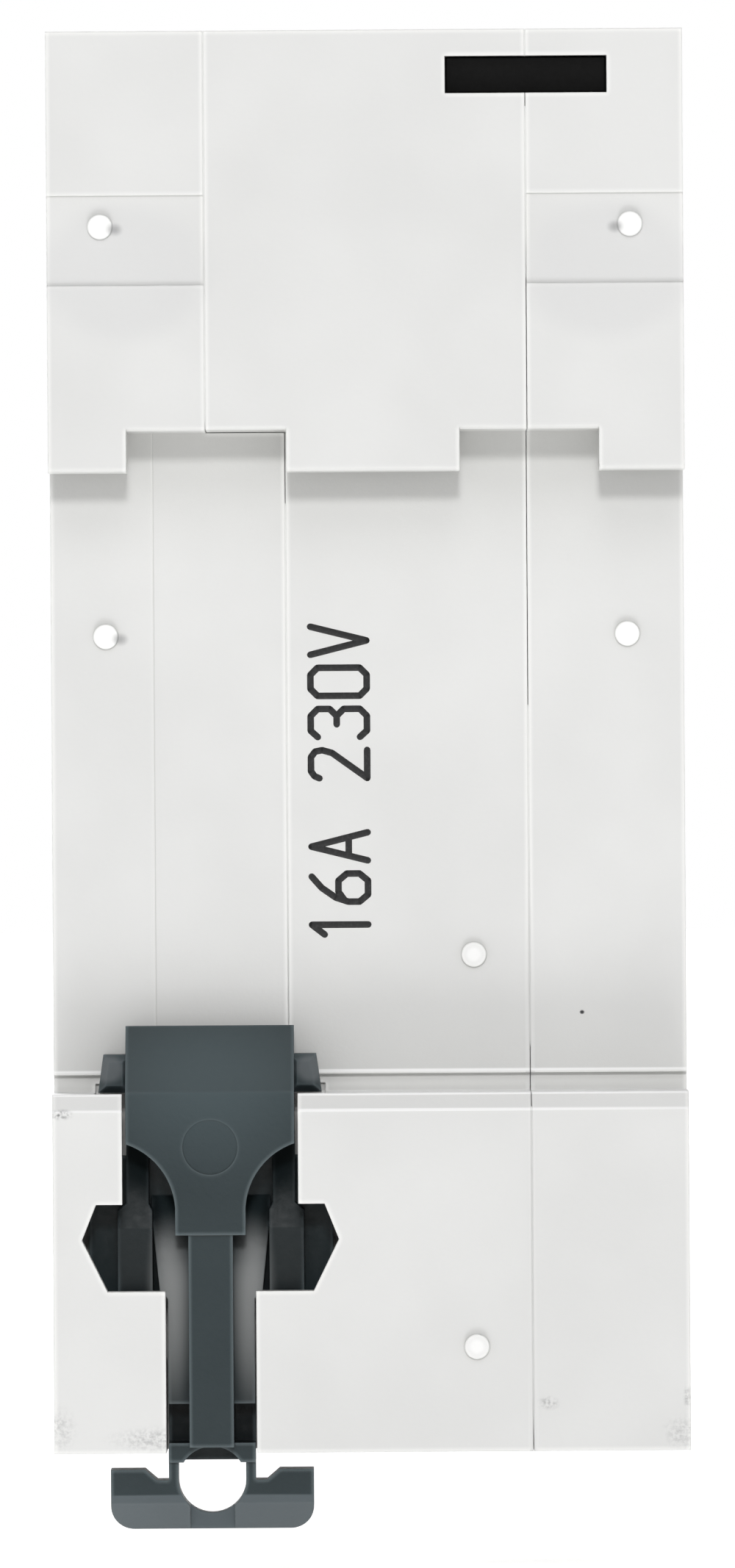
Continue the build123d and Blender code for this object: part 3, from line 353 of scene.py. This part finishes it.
def patch(material, middle_mm, size_mm, colour, strength, fade=0.3, broken=False):
    """Mixes a patch of another tone into a plastic's colour, inside an ellipsoid given by its half axes."""
    tree = material.node_tree
    surface = next(node for node in tree.nodes if node.type == "BSDF_PRINCIPLED")
    under = surface.inputs["Base Color"].links[0].from_socket
    place = add_node(tree, "ShaderNodeTexCoord").outputs["Object"]
    offset = add_node(tree, "ShaderNodeVectorMath", {0: place, 1: Vector(middle_mm) * MM},
                      operation="SUBTRACT")
    shares = add_node(tree, "ShaderNodeVectorMath", {0: offset.outputs[0], 1: Vector(size_mm) * MM},
                      operation="DIVIDE")
    away = add_node(tree, "ShaderNodeVectorMath", {0: shares.outputs[0]}, operation="LENGTH")
    amount = add_node(tree, "ShaderNodeMapRange",
                      {"Value": away.outputs["Value"], "From Min": 1.0 - fade, "From Max": 1.0,
                       "To Min": strength, "To Max": 0.0}, interpolation_type="SMOOTHSTEP").outputs[0]
    if broken:
        flecks = add_node(tree, "ShaderNodeTexNoise",
                          {"Vector": place, "Scale": 1 / FLECK, "Detail": 3.0, "Roughness": 0.6})
        gaps = add_node(tree, "ShaderNodeMapRange",
                        {"Value": flecks.outputs["Fac"], "From Min": 0.42, "From Max": 0.62})
        amount = add_node(tree, "ShaderNodeMath", {0: amount, 1: gaps.outputs[0]},
                          operation="MULTIPLY").outputs[0]
    toned = add_node(tree, "ShaderNodeMix", {0: amount, 6: under, 7: linear(colour)}, data_type="RGBA")
    tree.links.new(toned.outputs[2], surface.inputs["Base Color"])


print("flecks of dirt are", FLECK / MM, "mm wide")

# %% Tones of the housing's faces, and painted light on its lower lip
# middle and half axes in mm, colour, strength and fade, laid in this order;
# right and left are as seen from behind
face_tones_and_lip_light = (
    ((-13.6, 5.4, 26.4), (5.6, 0.6, 4.6), "#D6D6D6", 0.6, 0.35),  # shallow side band at the right
    ((13.6, 5.4, 26.4), (5.6, 0.6, 4.6), "#D6D6D6", 0.6, 0.35),  # and at the left
    # painted lighter, against the shade in the groove of the lower lip
    ((0, 2.8, -19.1), (40, 6, 0.7), "#F6F6F4", 0.3, 0.4),  # groove of the lower lip
    ((-9.05, 2.8, -27.0), (0.38, 7, 24), "#DADAD9", 0.75, 0.3),  # right joint line, from the seat down
    # painted highlights along the three edges of the lower lip
    ((0, 2.8, -18.62), (40, 6, 0.14), "#FFFFFF", 0.8, 0.5),  # three pale edges of the lower lip
    ((0, 2.8, -19.83), (40, 6, 0.14), "#FFFFFF", 0.8, 0.5),
    ((0, 2.8, -20.75), (40, 6, 0.14), "#FFFFFF", 0.8, 0.5),
)
for middle, half_axes, colour, strength, fade in face_tones_and_lip_light:
    patch(housing_polyamide, middle, half_axes, colour, strength, fade)
print(len(face_tones_and_lip_light), "tones on the housing's faces")

# %% Pips with painted highlights and painted shade, rubs and a speck on the housing
PIP_RADIUS_MM = 0.78
CRISP, SOFT = 0.2, 0.7  # how a pip's edge fades: those low on the part are worn soft
# middle of each pip's face, how far its painted shade lies to one side (0 for none), and its edge
pips = (
    ((14.9, 5.6, 29.0), -0.85, CRISP), ((-14.9, 5.6, 29.0), 0.85, CRISP), ((14.8, 0.3, 6.0), -0.85, CRISP),
    ((-14.7, 0.25, 6.0), 0.0, CRISP), ((-5.9, 0.25, -12.1), 0.0, SOFT), ((-5.9, 5.75, -34.1), 0.0, SOFT),
)
for middle, shade_aside, fade in pips:
    # each pip is whitened as a painted highlight
    patch(housing_polyamide, middle, (PIP_RADIUS_MM,) * 3, "#FBFBFA", 0.85, fade)
    if shade_aside:
        # a darker spot to one side and a little below, as painted shade
        dirt = Vector(middle) + Vector((shade_aside, 0, -0.15))
        patch(housing_polyamide, dirt, (0.6, 0.6, 0.5), "#747477", 0.65, fade=0.8)
# middle and half axes in mm, and strength
rubs = (
    ((12.0, 5.6, -39.2), (3.5, 1.0, 0.9), 0.4), ((17.4, 5.6, -20.9), (0.8, 1.0, 0.4), 0.9),
    ((-9.9, 5.6, -37.3), (0.8, 1.0, 0.5), 0.5), ((17.6, 5.6, -38.6), (1.2, 1.0, 1.6), 0.3),
    ((-17.4, 5.6, -39.0), (1.4, 1.0, 1.2), 0.3), ((-17.7, 5.6, -37.0), (0.3, 1.0, 0.8), 0.5),
)
for middle, half_axes, strength in rubs:
    patch(housing_polyamide, middle, half_axes, "#6E6E70", strength, fade=0.9, broken=True)
patch(housing_polyamide, (-12.0, 0.0, -15.4), (0.17, 0.4, 0.15), "#343436", 1.0, fade=0.6)  # a dark speck
print(len(pips), "pips,", len(rubs), "rubs and a speck")

# %% Painted highlights and shade on the clip
clip_low, clip_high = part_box("din_clip")
clip_middle = (clip_low[0] + clip_high[0]) / 2 / MM
# painted highlights on the head and on the lower edge of the pull tab
patch(clip_polyamide, (clip_middle, 5.0, -17.2), (9.0, 6.0, 9.0), "#434F53", 0.9, fade=0.9)
patch(clip_polyamide, (clip_middle, 2.6, -43.6), (30.0, 4.0, 1.25), "#565E62", 0.9, fade=0.1)
for side in (-1, 1):
    # painted shade on an arm, a painted highlight on a tongue, and a lug, paler from rubbing
    patch(clip_polyamide, (clip_middle + side * 4.2, 1.8, -27.4), (1.6, 3.0, 6.6), "#12181A", 0.75, fade=0.3)
    patch(clip_polyamide, (clip_middle + side * 2.3, 2.6, -31.6), (1.6, 2.4, 7.4), "#8A8C8C", 1.0, fade=0.9)
    patch(clip_polyamide, (clip_middle + side * 5.7, 3.2, -18.4), (1.1, 1.0, 1.0), "#62676A", 0.75, fade=0.5)
print("clip is worn along its middle at x", round(clip_middle, 2), "mm")

# %% [markdown]
# ## Metals
#
# The hidden parts are bright metals. Stamped and plated steel shows very fine
# scratches in the direction it was rolled; copper is warmer and tarnishes in
# wide soft clouds. A metal's colour is its reflection, so the colour goes in as
# the base colour of a fully metallic surface, and roughness does the rest. Rays
# sent outwards find slots and recesses, and the colour is mixed darker there.

# %% A worked metal
SCRATCH_WIDTH = 0.12 * MM
SCRATCH_STRETCH = 0.06  # a scratch's width as a share of its length
SCRATCH_DEPTH = 0.003 * MM
TARNISH_CLOUD = 4.0 * MM
RECESS_REACH = 1.5 * MM
METAL_EDGE = 0.1 * MM


def worked_metal(name, colour, tarnish, roughness, along="Z"):
    """A metal whose rolling marks run along one axis, with clouds of tarnish and a darker colour in its
    recesses.
    """
    material, tree, surface, place = start_material(name)
    surface.inputs["Metallic"].default_value = 1.0
    stretch = [SCRATCH_STRETCH if axis == along else 1 for axis in "XYZ"]
    drawn = add_node(tree, "ShaderNodeMapping", {"Vector": place, "Scale": stretch})
    marks = add_node(tree, "ShaderNodeTexNoise",
                     {"Vector": drawn.outputs[0], "Scale": 1 / SCRATCH_WIDTH, "Detail": 2.0})
    clouds = add_node(tree, "ShaderNodeTexNoise", {"Vector": place, "Scale": 1 / TARNISH_CLOUD, "Detail": 3.0})
    amount = add_node(tree, "ShaderNodeMapRange",
                      {"Value": clouds.outputs["Fac"], "From Min": 0.4, "From Max": 0.7})
    skin = add_node(tree, "ShaderNodeMix",
                    {0: amount.outputs[0], 6: linear(colour), 7: linear(tarnish)}, data_type="RGBA")
    # the colour is mixed darker where rays sent outwards soon meet other faces
    open_air = add_node(tree, "ShaderNodeAmbientOcclusion", {"Distance": RECESS_REACH},
                        samples=OCCLUSION_SAMPLES)
    recess_darkness = add_node(tree, "ShaderNodeMapRange",
                      {"Value": open_air.outputs["AO"], "From Min": 0.35, "From Max": 0.9,
                       "To Min": 0.9, "To Max": 0.0})
    darker_in_recesses = add_node(tree, "ShaderNodeMix",
                       {0: recess_darkness.outputs[0], 6: skin.outputs[2], 7: linear("#2B2A28")}, data_type="RGBA")
    tree.links.new(darker_in_recesses.outputs[2], surface.inputs["Base Color"])
    rough = add_node(tree, "ShaderNodeMapRange",
                     {"Value": marks.outputs["Fac"], "From Min": 0.3, "From Max": 0.7,
                      "To Min": roughness - 0.08, "To Max": roughness + 0.1})
    tree.links.new(rough.outputs[0], surface.inputs["Roughness"])
    edge = add_node(tree, "ShaderNodeBevel", {"Radius": METAL_EDGE}, samples=BEVEL_SAMPLES)
    relief = add_node(tree, "ShaderNodeBump",
                      {"Height": marks.outputs["Fac"], "Normal": edge.outputs[0], "Distance": SCRATCH_DEPTH})
    tree.links.new(relief.outputs[0], surface.inputs["Normal"])
    return material


plated_steel = worked_metal("zinc_plated_steel", "#A3A5A7", "#8D9092", roughness=0.34)
rivet_steel = worked_metal("nickel_plated_steel", "#A9A7A2", "#918F8A", roughness=0.3, along="X")
pin_steel = worked_metal("drawn_steel", "#ABABAB", "#949494", roughness=0.24, along="X")
yoke_steel = worked_metal("passivated_steel", "#C8BC93", "#B5AC8C", roughness=0.34)
arc_steel = worked_metal("stamped_steel_plate", "#B9B9B8", "#9C9C9B", roughness=0.38, along="X")
bimetal_strip_metal = worked_metal("rolled_bimetal", "#B3AC9F", "#9A9184", roughness=0.36)
plated_copper = worked_metal("rolled_copper", "#D59B77", "#B97B58", roughness=0.3)
coil_copper = worked_metal("enamelled_copper", "#C8763F", "#A65A2B", roughness=0.22)
print("eight metals made")

# %% [markdown]
# ## The other finishes
#
# A clear window is a plastic that light goes through. The circuit board is glass
# cloth under green lacquer, and the cloth's weave just shows. Pressed fibre has
# short hairs in every direction. Dipped and lacquered components are glossy.

# %% Clear window
window_clear, tree, surface, place = start_material("clear_polycarbonate")
ripple = add_node(tree, "ShaderNodeTexNoise", {"Vector": place, "Scale": 1 / (2.0 * MM), "Detail": 1.0})
bend = add_node(tree, "ShaderNodeBump", {"Height": ripple.outputs["Fac"], "Distance": 0.01 * MM})
tree.links.new(bend.outputs[0], surface.inputs["Normal"])
tint = add_node(tree, "ShaderNodeMix",
                {0: ripple.outputs["Fac"], 6: linear("#F4F8F8"), 7: linear("#EAF0F0")}, data_type="RGBA")
tree.links.new(tint.outputs[2], surface.inputs["Base Color"])
surface.inputs["Transmission Weight"].default_value = 1.0
surface.inputs["Roughness"].default_value = 0.06
surface.inputs["IOR"].default_value = 1.58
print("window ready")

# %% Two-colour position flag
flag_low, flag_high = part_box("position_flag")
flag_split = (flag_low[2] + flag_high[2]) / 2
flag_paint, tree, surface, place = start_material("flag_polyamide_green_and_red")
height = add_node(tree, "ShaderNodeSeparateXYZ", {0: place}).outputs["Z"]
upper = add_node(tree, "ShaderNodeMath", {0: height, 1: flag_split}, operation="GREATER_THAN")
cloud = add_node(tree, "ShaderNodeTexNoise", {"Vector": place, "Scale": 1 / (0.4 * MM), "Detail": 2.0})
paint = add_node(tree, "ShaderNodeMix",
                 {0: upper.outputs[0], 6: linear("#B3261E"), 7: linear("#1E8A3C")}, data_type="RGBA")
tree.links.new(paint.outputs[2], surface.inputs["Base Color"])
gloss = add_node(tree, "ShaderNodeMapRange", {"Value": cloud.outputs["Fac"], "To Min": 0.35, "To Max": 0.5})
tree.links.new(gloss.outputs[0], surface.inputs["Roughness"])
print("flag changes colour at z", round(flag_split / MM, 2), "mm")

# %% Circuit board
THREAD = 0.6 * MM  # coarser than real glass cloth, so that the weave shows at all
WAVE_FACTOR = 20  # the wave node multiplies its scale by this
laminate, tree, surface, place = start_material("glass_epoxy_laminate")
across, along = [
    add_node(tree, "ShaderNodeTexWave",
             {"Vector": place, "Scale": 2 * math.pi / (WAVE_FACTOR * THREAD), "Distortion": 0.4},
             wave_type="BANDS", bands_direction=direction)
    for direction in "YZ"
]
cloth = add_node(tree, "ShaderNodeMath", {0: across.outputs["Fac"], 1: along.outputs["Fac"]},
                 operation="MULTIPLY")
lacquer = add_node(tree, "ShaderNodeMix",
                   {0: cloth.outputs[0], 6: linear("#1B5B34"), 7: linear("#237043")}, data_type="RGBA")
tree.links.new(lacquer.outputs[2], surface.inputs["Base Color"])
weave = add_node(tree, "ShaderNodeBump", {"Height": cloth.outputs[0], "Distance": 0.01 * MM})
tree.links.new(weave.outputs[0], surface.inputs["Normal"])
surface.inputs["Roughness"].default_value = 0.3
surface.inputs["Coat Weight"].default_value = 0.4
print("laminate ready")

# %% Pressed fibre
fibre, tree, surface, place = start_material("pressed_vulcanised_fibre")
hairs = add_node(tree, "ShaderNodeTexNoise",
                 {"Vector": place, "Scale": 1 / (0.5 * MM), "Detail": 4.0, "Distortion": 1.5})
brown = add_node(tree, "ShaderNodeMix",
                 {0: hairs.outputs["Fac"], 6: linear("#B79A6E"), 7: linear("#D0B78C")}, data_type="RGBA")
tree.links.new(brown.outputs[2], surface.inputs["Base Color"])
felt = add_node(tree, "ShaderNodeBump", {"Height": hairs.outputs["Fac"], "Distance": 0.02 * MM})
tree.links.new(felt.outputs[0], surface.inputs["Normal"])
surface.inputs["Roughness"].default_value = 0.75
print("fibre ready")

# %% Dipped and sleeved components
def dipped_component(name, colour, shade, roughness):
    """A small electronic component under a glossy coat that runs a little."""
    material, tree, surface, place = start_material(name)
    runs = add_node(tree, "ShaderNodeTexNoise", {"Vector": place, "Scale": 1 / (1.5 * MM), "Detail": 2.0})
    coat = add_node(tree, "ShaderNodeMix",
                    {0: runs.outputs["Fac"], 6: linear(colour), 7: linear(shade)}, data_type="RGBA")
    tree.links.new(coat.outputs[2], surface.inputs["Base Color"])
    wavy = add_node(tree, "ShaderNodeBump", {"Height": runs.outputs["Fac"], "Distance": 0.05 * MM})
    tree.links.new(wavy.outputs[0], surface.inputs["Normal"])
    surface.inputs["Roughness"].default_value = roughness
    surface.inputs["Coat Weight"].default_value = 0.5
    return material


varistor_coat = dipped_component("dipped_epoxy_blue", "#2C5AA0", "#244C8A", 0.25)
capacitor_sleeve = dipped_component("shrunk_sleeve_navy", "#20263F", "#1A2036", 0.3)
resistor_coat = dipped_component("lacquered_ceramic_beige", "#C9B98F", "#BCAA7D", 0.35)
print("components ready")

# %% [markdown]
# ## Which part is made of what
#
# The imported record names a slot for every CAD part. A table from slot to
# material dresses all of them in one loop.

# %% Dress the CAD parts
finish_of_slot = {
    "housing_moulding": housing_polyamide,
    "rivet_steel": rivet_steel,
    "clip_moulding": clip_polyamide,
    "blank_moulding": blank_polyamide,
    "toggle_moulding": toggle_polyamide,
    "button_moulding": button_abs,
    "window_plastic": window_clear,
    "flag_plastic": flag_paint,
    "plated_steel": plated_steel,
    "plated_copper": plated_copper,
    "coil_copper": coil_copper,
    "steel_pin": pin_steel,
    "yoke_steel": yoke_steel,
    "arc_steel": arc_steel,
    "bimetal": bimetal_strip_metal,
    "fibre": fibre,
    "mechanism_plastic": mechanism_plastic,
    "bobbin_plastic": bobbin_nylon,
    "board_laminate": laminate,
    "core_case": core_case_plastic,
    "core_winding": coil_copper,
    "relay_case": relay_case_plastic,
    "capacitor_can": capacitor_sleeve,
    "varistor_coating": varistor_coat,
    "chip_moulding": chip_epoxy,
    "resistor_coating": resistor_coat,
    "braid_copper": plated_copper,
}
for part in frame["record"]["subparts"]:
    cad_object = nodes[part["node"]]
    cad_object.data.materials.clear()
    cad_object.data.materials.append(finish_of_slot[part["material_slot"]])

# %% [markdown]
# ## Beads in the joint lines
#
# The covers are welded to the middle moulding on the rear, and the weld fills
# most of each joint line nearly flush, so that it hardly shows. A bead is a thin
# bar along the joint: it is made here from its cross-section, with a low round
# crown, and its lower end tapers into the open joint.

# %% A weld bead
def weld_bead(name, joint_x, low_z, high_z, taper, face_y):
    """A bead in the joint line at joint_x, from low_z up to high_z, in the face at face_y; all in metres."""
    half, sink, crown = 0.03 * MM, 0.4 * MM, 0.004 * MM
    narrowed = 0.35  # share of the section that is left at the lower end
    section = [(-half, -sink), (half, -sink), (half, -crown),
               (half / 2, 0.0), (-half / 2, 0.0), (-half, -crown)]
    levels = [(low_z, narrowed), (low_z + taper, 1.0), (high_z, 1.0)]
    shape = bmesh.new()
    rings = [[shape.verts.new((joint_x + x * share, face_y + y * share, z)) for x, y in section]
             for z, share in levels]
    for lower, upper in zip(rings, rings[1:]):
        for i in range(len(section)):
            j = (i + 1) % len(section)
            shape.faces.new((lower[i], lower[j], upper[j], upper[i]))
    shape.faces.new(list(reversed(rings[0])))
    shape.faces.new(rings[-1])
    bmesh.ops.recalc_face_normals(shape, faces=shape.faces)
    mesh = bpy.data.meshes.new(name)
    shape.to_mesh(mesh)
    shape.free()
    mesh.materials.append(housing_polyamide)
    bead = bpy.data.objects.new(name, mesh)
    bpy.context.scene.collection.objects.link(bead)
    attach(bead, "housing")
    print(name, round((high_z - low_z) / MM, 1), "mm long")


print("a bead is ready to be laid")

# %% Beads in the joint lines
REAR_FACE = 5.5 * MM
SEAT_FACE = -0.004 * MM
COVER_JOINT = 9.05 * MM
TONGUE_JOINT = 4.6 * MM
shell_low, shell_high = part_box("centre_body")
blank_low, blank_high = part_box("slot_blank")
top = shell_high[2] - 0.1 * MM
under_blank = blank_low[2] - 0.05 * MM  # the black blank crosses the right joint line
over_blank = blank_high[2] + 0.05 * MM
# after its joint, each bead has its lower and upper end and the length that it narrows over
weld_bead("left_weld_bead", COVER_JOINT, 17.6 * MM, top, 1.0 * MM, REAR_FACE)
weld_bead("right_weld_bead_lower", -COVER_JOINT, 26.0 * MM, under_blank, 5.0 * MM, REAR_FACE)
weld_bead("right_weld_bead_upper", -COVER_JOINT, over_blank, top, 0.2 * MM, REAR_FACE)
weld_bead("right_weld_bead_below", -COVER_JOINT, -39.0 * MM, -20.6 * MM, 3.0 * MM, REAR_FACE)
weld_bead("right_weld_bead_seat", -COVER_JOINT, -17.3 * MM, 2.0 * MM, 0.5 * MM, SEAT_FACE)
weld_bead("tongue_weld_bead", TONGUE_JOINT, -17.0 * MM, 13.5 * MM, 20.0 * MM, SEAT_FACE)

# %% [markdown]
# ## Printed marks
#
# The rating on the seat floor is printed by a small plotter, whose pen draws
# each character as a few strokes of one width with round ends. The strokes are
# written here as short lists of points on a grid. A Geometry Nodes tree turns
# any such list into ink: it sweeps a round section along the strokes, puts a
# ball on each point so that ends and corners are round, and presses the result
# nearly flat. One tree then serves every mark on the breaker.

# %% Strokes of the plotter's characters
GRID_WIDE, GRID_HIGH = 4, 8
STROKES = {
    "0": [[(1, 0), (3, 0), (4, 1), (4, 7), (3, 8), (1, 8), (0, 7), (0, 1), (1, 0)]],
    "1": [[(1.2, 6.2), (2.6, 8), (2.6, 0)]],
    "2": [[(0, 6.8), (0.3, 7.5), (1, 8), (3, 8), (3.8, 7.4), (4, 6.4), (3.6, 5), (0, 0), (4, 0)]],
    "3": [[(0, 7), (0.9, 8), (3, 8), (4, 7), (4, 5.3), (3, 4.3), (1.8, 4.3)],
          [(3, 4.3), (4, 3.3), (4, 1), (3, 0), (0.9, 0), (0, 1)]],
    "6": [[(3.6, 8), (2, 6.6), (0.6, 4.6), (0, 2.8), (0, 1.2), (1, 0), (3, 0), (4, 1.2), (4, 3), (3, 4.2),
           (1.4, 4.2), (0.3, 3.4)]],
    "A": [[(0, 0), (2, 8), (4, 0)], [(0.8, 2.7), (3.2, 2.7)]],
    "I": [[(2, 0), (2, 8)]],
    "N": [[(0, 0), (0, 8), (4, 0), (4, 8)]],
    "T": [[(0, 8), (4, 8)], [(2, 8), (2, 0)]],
    "V": [[(0, 8), (2, 0), (4, 8)]],
}
STROKES["O"] = STROKES["0"]


def written(text, height, pitch):
    """The strokes of a line of text, as lists of points right and up from its middle, in metres."""
    unit = height / GRID_HIGH
    start = -(pitch * (len(text) - 1)) / 2
    return [
        [(start + pitch * place + (x - GRID_WIDE / 2) * unit, (y - GRID_HIGH / 2) * unit) for x, y in stroke]
        for place, character in enumerate(text)
        for stroke in STROKES.get(character, [])
    ]


print("the plotter knows", "".join(sorted(STROKES)))

# %% A tree that inks strokes
inking = bpy.data.node_groups.new("ink_strokes", "GeometryNodeTree")
inking.interface.new_socket("Geometry", in_out="INPUT", socket_type="NodeSocketGeometry")
for name, kind in (("Pen radius", "NodeSocketFloat"), ("Ink height", "NodeSocketFloat"),
                   ("Ink", "NodeSocketMaterial")):
    inking.interface.new_socket(name, in_out="INPUT", socket_type=kind)
inking.interface.new_socket("Geometry", in_out="OUTPUT", socket_type="NodeSocketGeometry")
given = add_node(inking, "NodeGroupInput")
lines = add_node(inking, "GeometryNodeMeshToCurve", {"Mesh": given.outputs["Geometry"]})
section = add_node(inking, "GeometryNodeCurvePrimitiveCircle",
                   {"Resolution": 8, "Radius": given.outputs["Pen radius"]}, mode="RADIUS")
swept = add_node(inking, "GeometryNodeCurveToMesh",
                 {"Curve": lines.outputs[0], "Profile Curve": section.outputs[0], "Fill Caps": True})
ball = add_node(inking, "GeometryNodeMeshIcoSphere",
                {"Radius": given.outputs["Pen radius"], "Subdivisions": 2})
balls = add_node(inking, "GeometryNodeInstanceOnPoints",
                 {"Points": given.outputs["Geometry"], "Instance": ball.outputs[0]})
joined = add_node(inking, "GeometryNodeJoinGeometry")
inking.links.new(swept.outputs[0], joined.inputs[0])
inking.links.new(balls.outputs[0], joined.inputs[0])
real = add_node(inking, "GeometryNodeRealizeInstances", {0: joined.outputs[0]})
share = add_node(inking, "ShaderNodeMath",
                 {0: given.outputs["Ink height"], 1: given.outputs["Pen radius"]}, operation="DIVIDE")
press = add_node(inking, "ShaderNodeCombineXYZ", {"X": 1.0, "Y": 1.0, "Z": share.outputs[0]})
flat = add_node(inking, "GeometryNodeTransform", {"Geometry": real.outputs[0], "Scale": press.outputs[0]})
inked = add_node(inking, "GeometryNodeSetMaterial",
                 {"Geometry": flat.outputs[0], "Material": given.outputs["Ink"]})
add_node(inking, "NodeGroupOutput", {0: inked.outputs[0]})
print("ink tree has", len(inking.nodes), "nodes")

# %% From a tree to a plain mesh
def tree_inputs(modifier, **values):
    """Sets a Geometry Nodes modifier's inputs, which it stores under each socket's identifier."""
    for socket in modifier.node_group.interface.items_tree:
        if socket.item_type == "SOCKET" and socket.in_out == "INPUT":
            key = socket.name.replace(" ", "_").lower()
            if key in values:
                modifier[socket.identifier] = values[key]


def settle(draft, name):
    """Turns an object with live modifiers into a plain mesh object of the given name."""
    bpy.context.view_layer.update()
    ready = draft.evaluated_get(bpy.context.evaluated_depsgraph_get())
    mesh = bpy.data.meshes.new_from_object(ready)
    mesh.name = name
    bpy.data.objects.remove(draft)
    piece = bpy.data.objects.new(name, mesh)
    bpy.context.scene.collection.objects.link(piece)
    return piece


print("a tree can be given its inputs and settled to a plain mesh")

# %% Ink
# dense, thinner in small specks, and slightly glossier than the matt plastic under it
black_ink, tree, surface, place = start_material("plotter_ink_black")
specks = add_node(tree, "ShaderNodeTexNoise", {"Vector": place, "Scale": 1 / (0.18 * MM), "Detail": 3.0})
thinness = add_node(tree, "ShaderNodeMapRange",
                    {"Value": specks.outputs["Fac"], "From Min": 0.5, "From Max": 0.8, "To Max": 0.7})
ink_tone = add_node(tree, "ShaderNodeMix",
                    {0: thinness.outputs[0], 6: linear("#1A1A1B"), 7: linear("#3C3C3D")}, data_type="RGBA")
tree.links.new(ink_tone.outputs[2], surface.inputs["Base Color"])
surface.inputs["Roughness"].default_value = 0.45
print("ink mixed")

# %% Laying a page and printing on it
INK_HEIGHT = 0.015 * MM


def on_face(place, right, up):
    """A matrix that lays a page at a place, with its right and up along two directions."""
    right, up = Vector(right), Vector(up)
    turn = Matrix((right, up, right.cross(up))).transposed().to_4x4()
    return Matrix.Translation(Vector(place)) @ turn


def print_mark(name, text, height, pitch, pen, matrix, body="housing"):
    """Prints text on a face; the matrix carries right, up and out of the page onto the part."""
    mesh = bpy.data.meshes.new(name)
    # each straight run has its own two points, so that no corner pinches the pen's width
    points = [
        (x, y, 0)
        for stroke in written(text, height, pitch)
        for run in zip(stroke, stroke[1:])
        for x, y in run
    ]
    mesh.from_pydata(points, [(i, i + 1) for i in range(0, len(points), 2)], [])
    draft = bpy.data.objects.new(name + "_draft", mesh)
    bpy.context.scene.collection.objects.link(draft)
    modifier = draft.modifiers.new("ink", "NODES")
    modifier.node_group = inking
    tree_inputs(modifier, pen_radius=pen, ink_height=INK_HEIGHT, ink=black_ink)
    piece = settle(draft, name)
    piece.data.transform(matrix)
    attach(piece, body)
    low = [round(min(v.co[i] for v in piece.data.vertices) / MM, 2) for i in range(3)]
    high = [round(max(v.co[i] for v in piece.data.vertices) / MM, 2) for i in range(3)]
    print(name, low, high)


print("marks stand", INK_HEIGHT / MM, "mm high")

# %% Rating on the seat floor
RATING_HEIGHT, RATING_PITCH = 3.18 * MM, 2.33 * MM
BROAD_PEN = 0.19 * MM
# seen from behind, it reads upwards a little to the left of the seat's middle
rating_middle = Vector((1.65, 0.0, -2.45)) * MM
print_mark("rating_print", "16A 230V", RATING_HEIGHT, RATING_PITCH, BROAD_PEN,
           on_face(rating_middle, (0, 0, 1), (1, 0, 0)))

# %% [markdown]
# ## Marks on the front
#
# The front carries what an electrician needs and no more: a number or N beside
# each terminal, I and O beside the handle for its two positions, and T on the
# button that tests the residual-current part. The T moves in with its button, so
# it rides on the button's body.

# %% Marks on the front
RIGHT, UP = (1, 0, 0), (0, 0, 1)
MARK_HEIGHT, MARK_PITCH = 2.6 * MM, 2.0 * MM
TERMINAL_PEN, HANDLE_PEN = 0.16 * MM, 0.17 * MM
FROM_SCREW, FROM_HANDLE = 2.6 * MM, 2.4 * MM
SHOULDER_STEP = 6 * MM  # the front's middle stands this far out from the terminal shoulders
FRONT_FACE = shell_low[1]
SHOULDER_FACE = FRONT_FACE + SHOULDER_STEP
for way, number in (("in", "1"), ("out", "2")):
    for line, text in (("line", number), ("neutral", "N")):
        low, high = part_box(f"{line}_{way}_screw")
        beside = Vector((high[0] + FROM_SCREW, SHOULDER_FACE, (low[2] + high[2]) / 2))
        print_mark(f"{line}_{way}_mark", text, MARK_HEIGHT, MARK_PITCH, TERMINAL_PEN,
                   on_face(beside, RIGHT, UP))

# %% Marks for the handle and the test button
lever_low, lever_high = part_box("toggle")
for mark_name, text, lift in (("on_mark", "I", 6.0), ("off_mark", "O", -6.0)):
    beside = Vector((lever_high[0] + FROM_HANDLE, FRONT_FACE, lift * MM))
    print_mark(mark_name, text, MARK_HEIGHT, MARK_PITCH, HANDLE_PEN, on_face(beside, RIGHT, UP))
low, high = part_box("test_button")
button_middle = Vector(((low[0] + high[0]) / 2, low[1], (low[2] + high[2]) / 2))
print_mark("test_mark", "T", 2.9 * MM, MARK_PITCH, BROAD_PEN, on_face(button_middle, RIGHT, UP),
           "test_button")
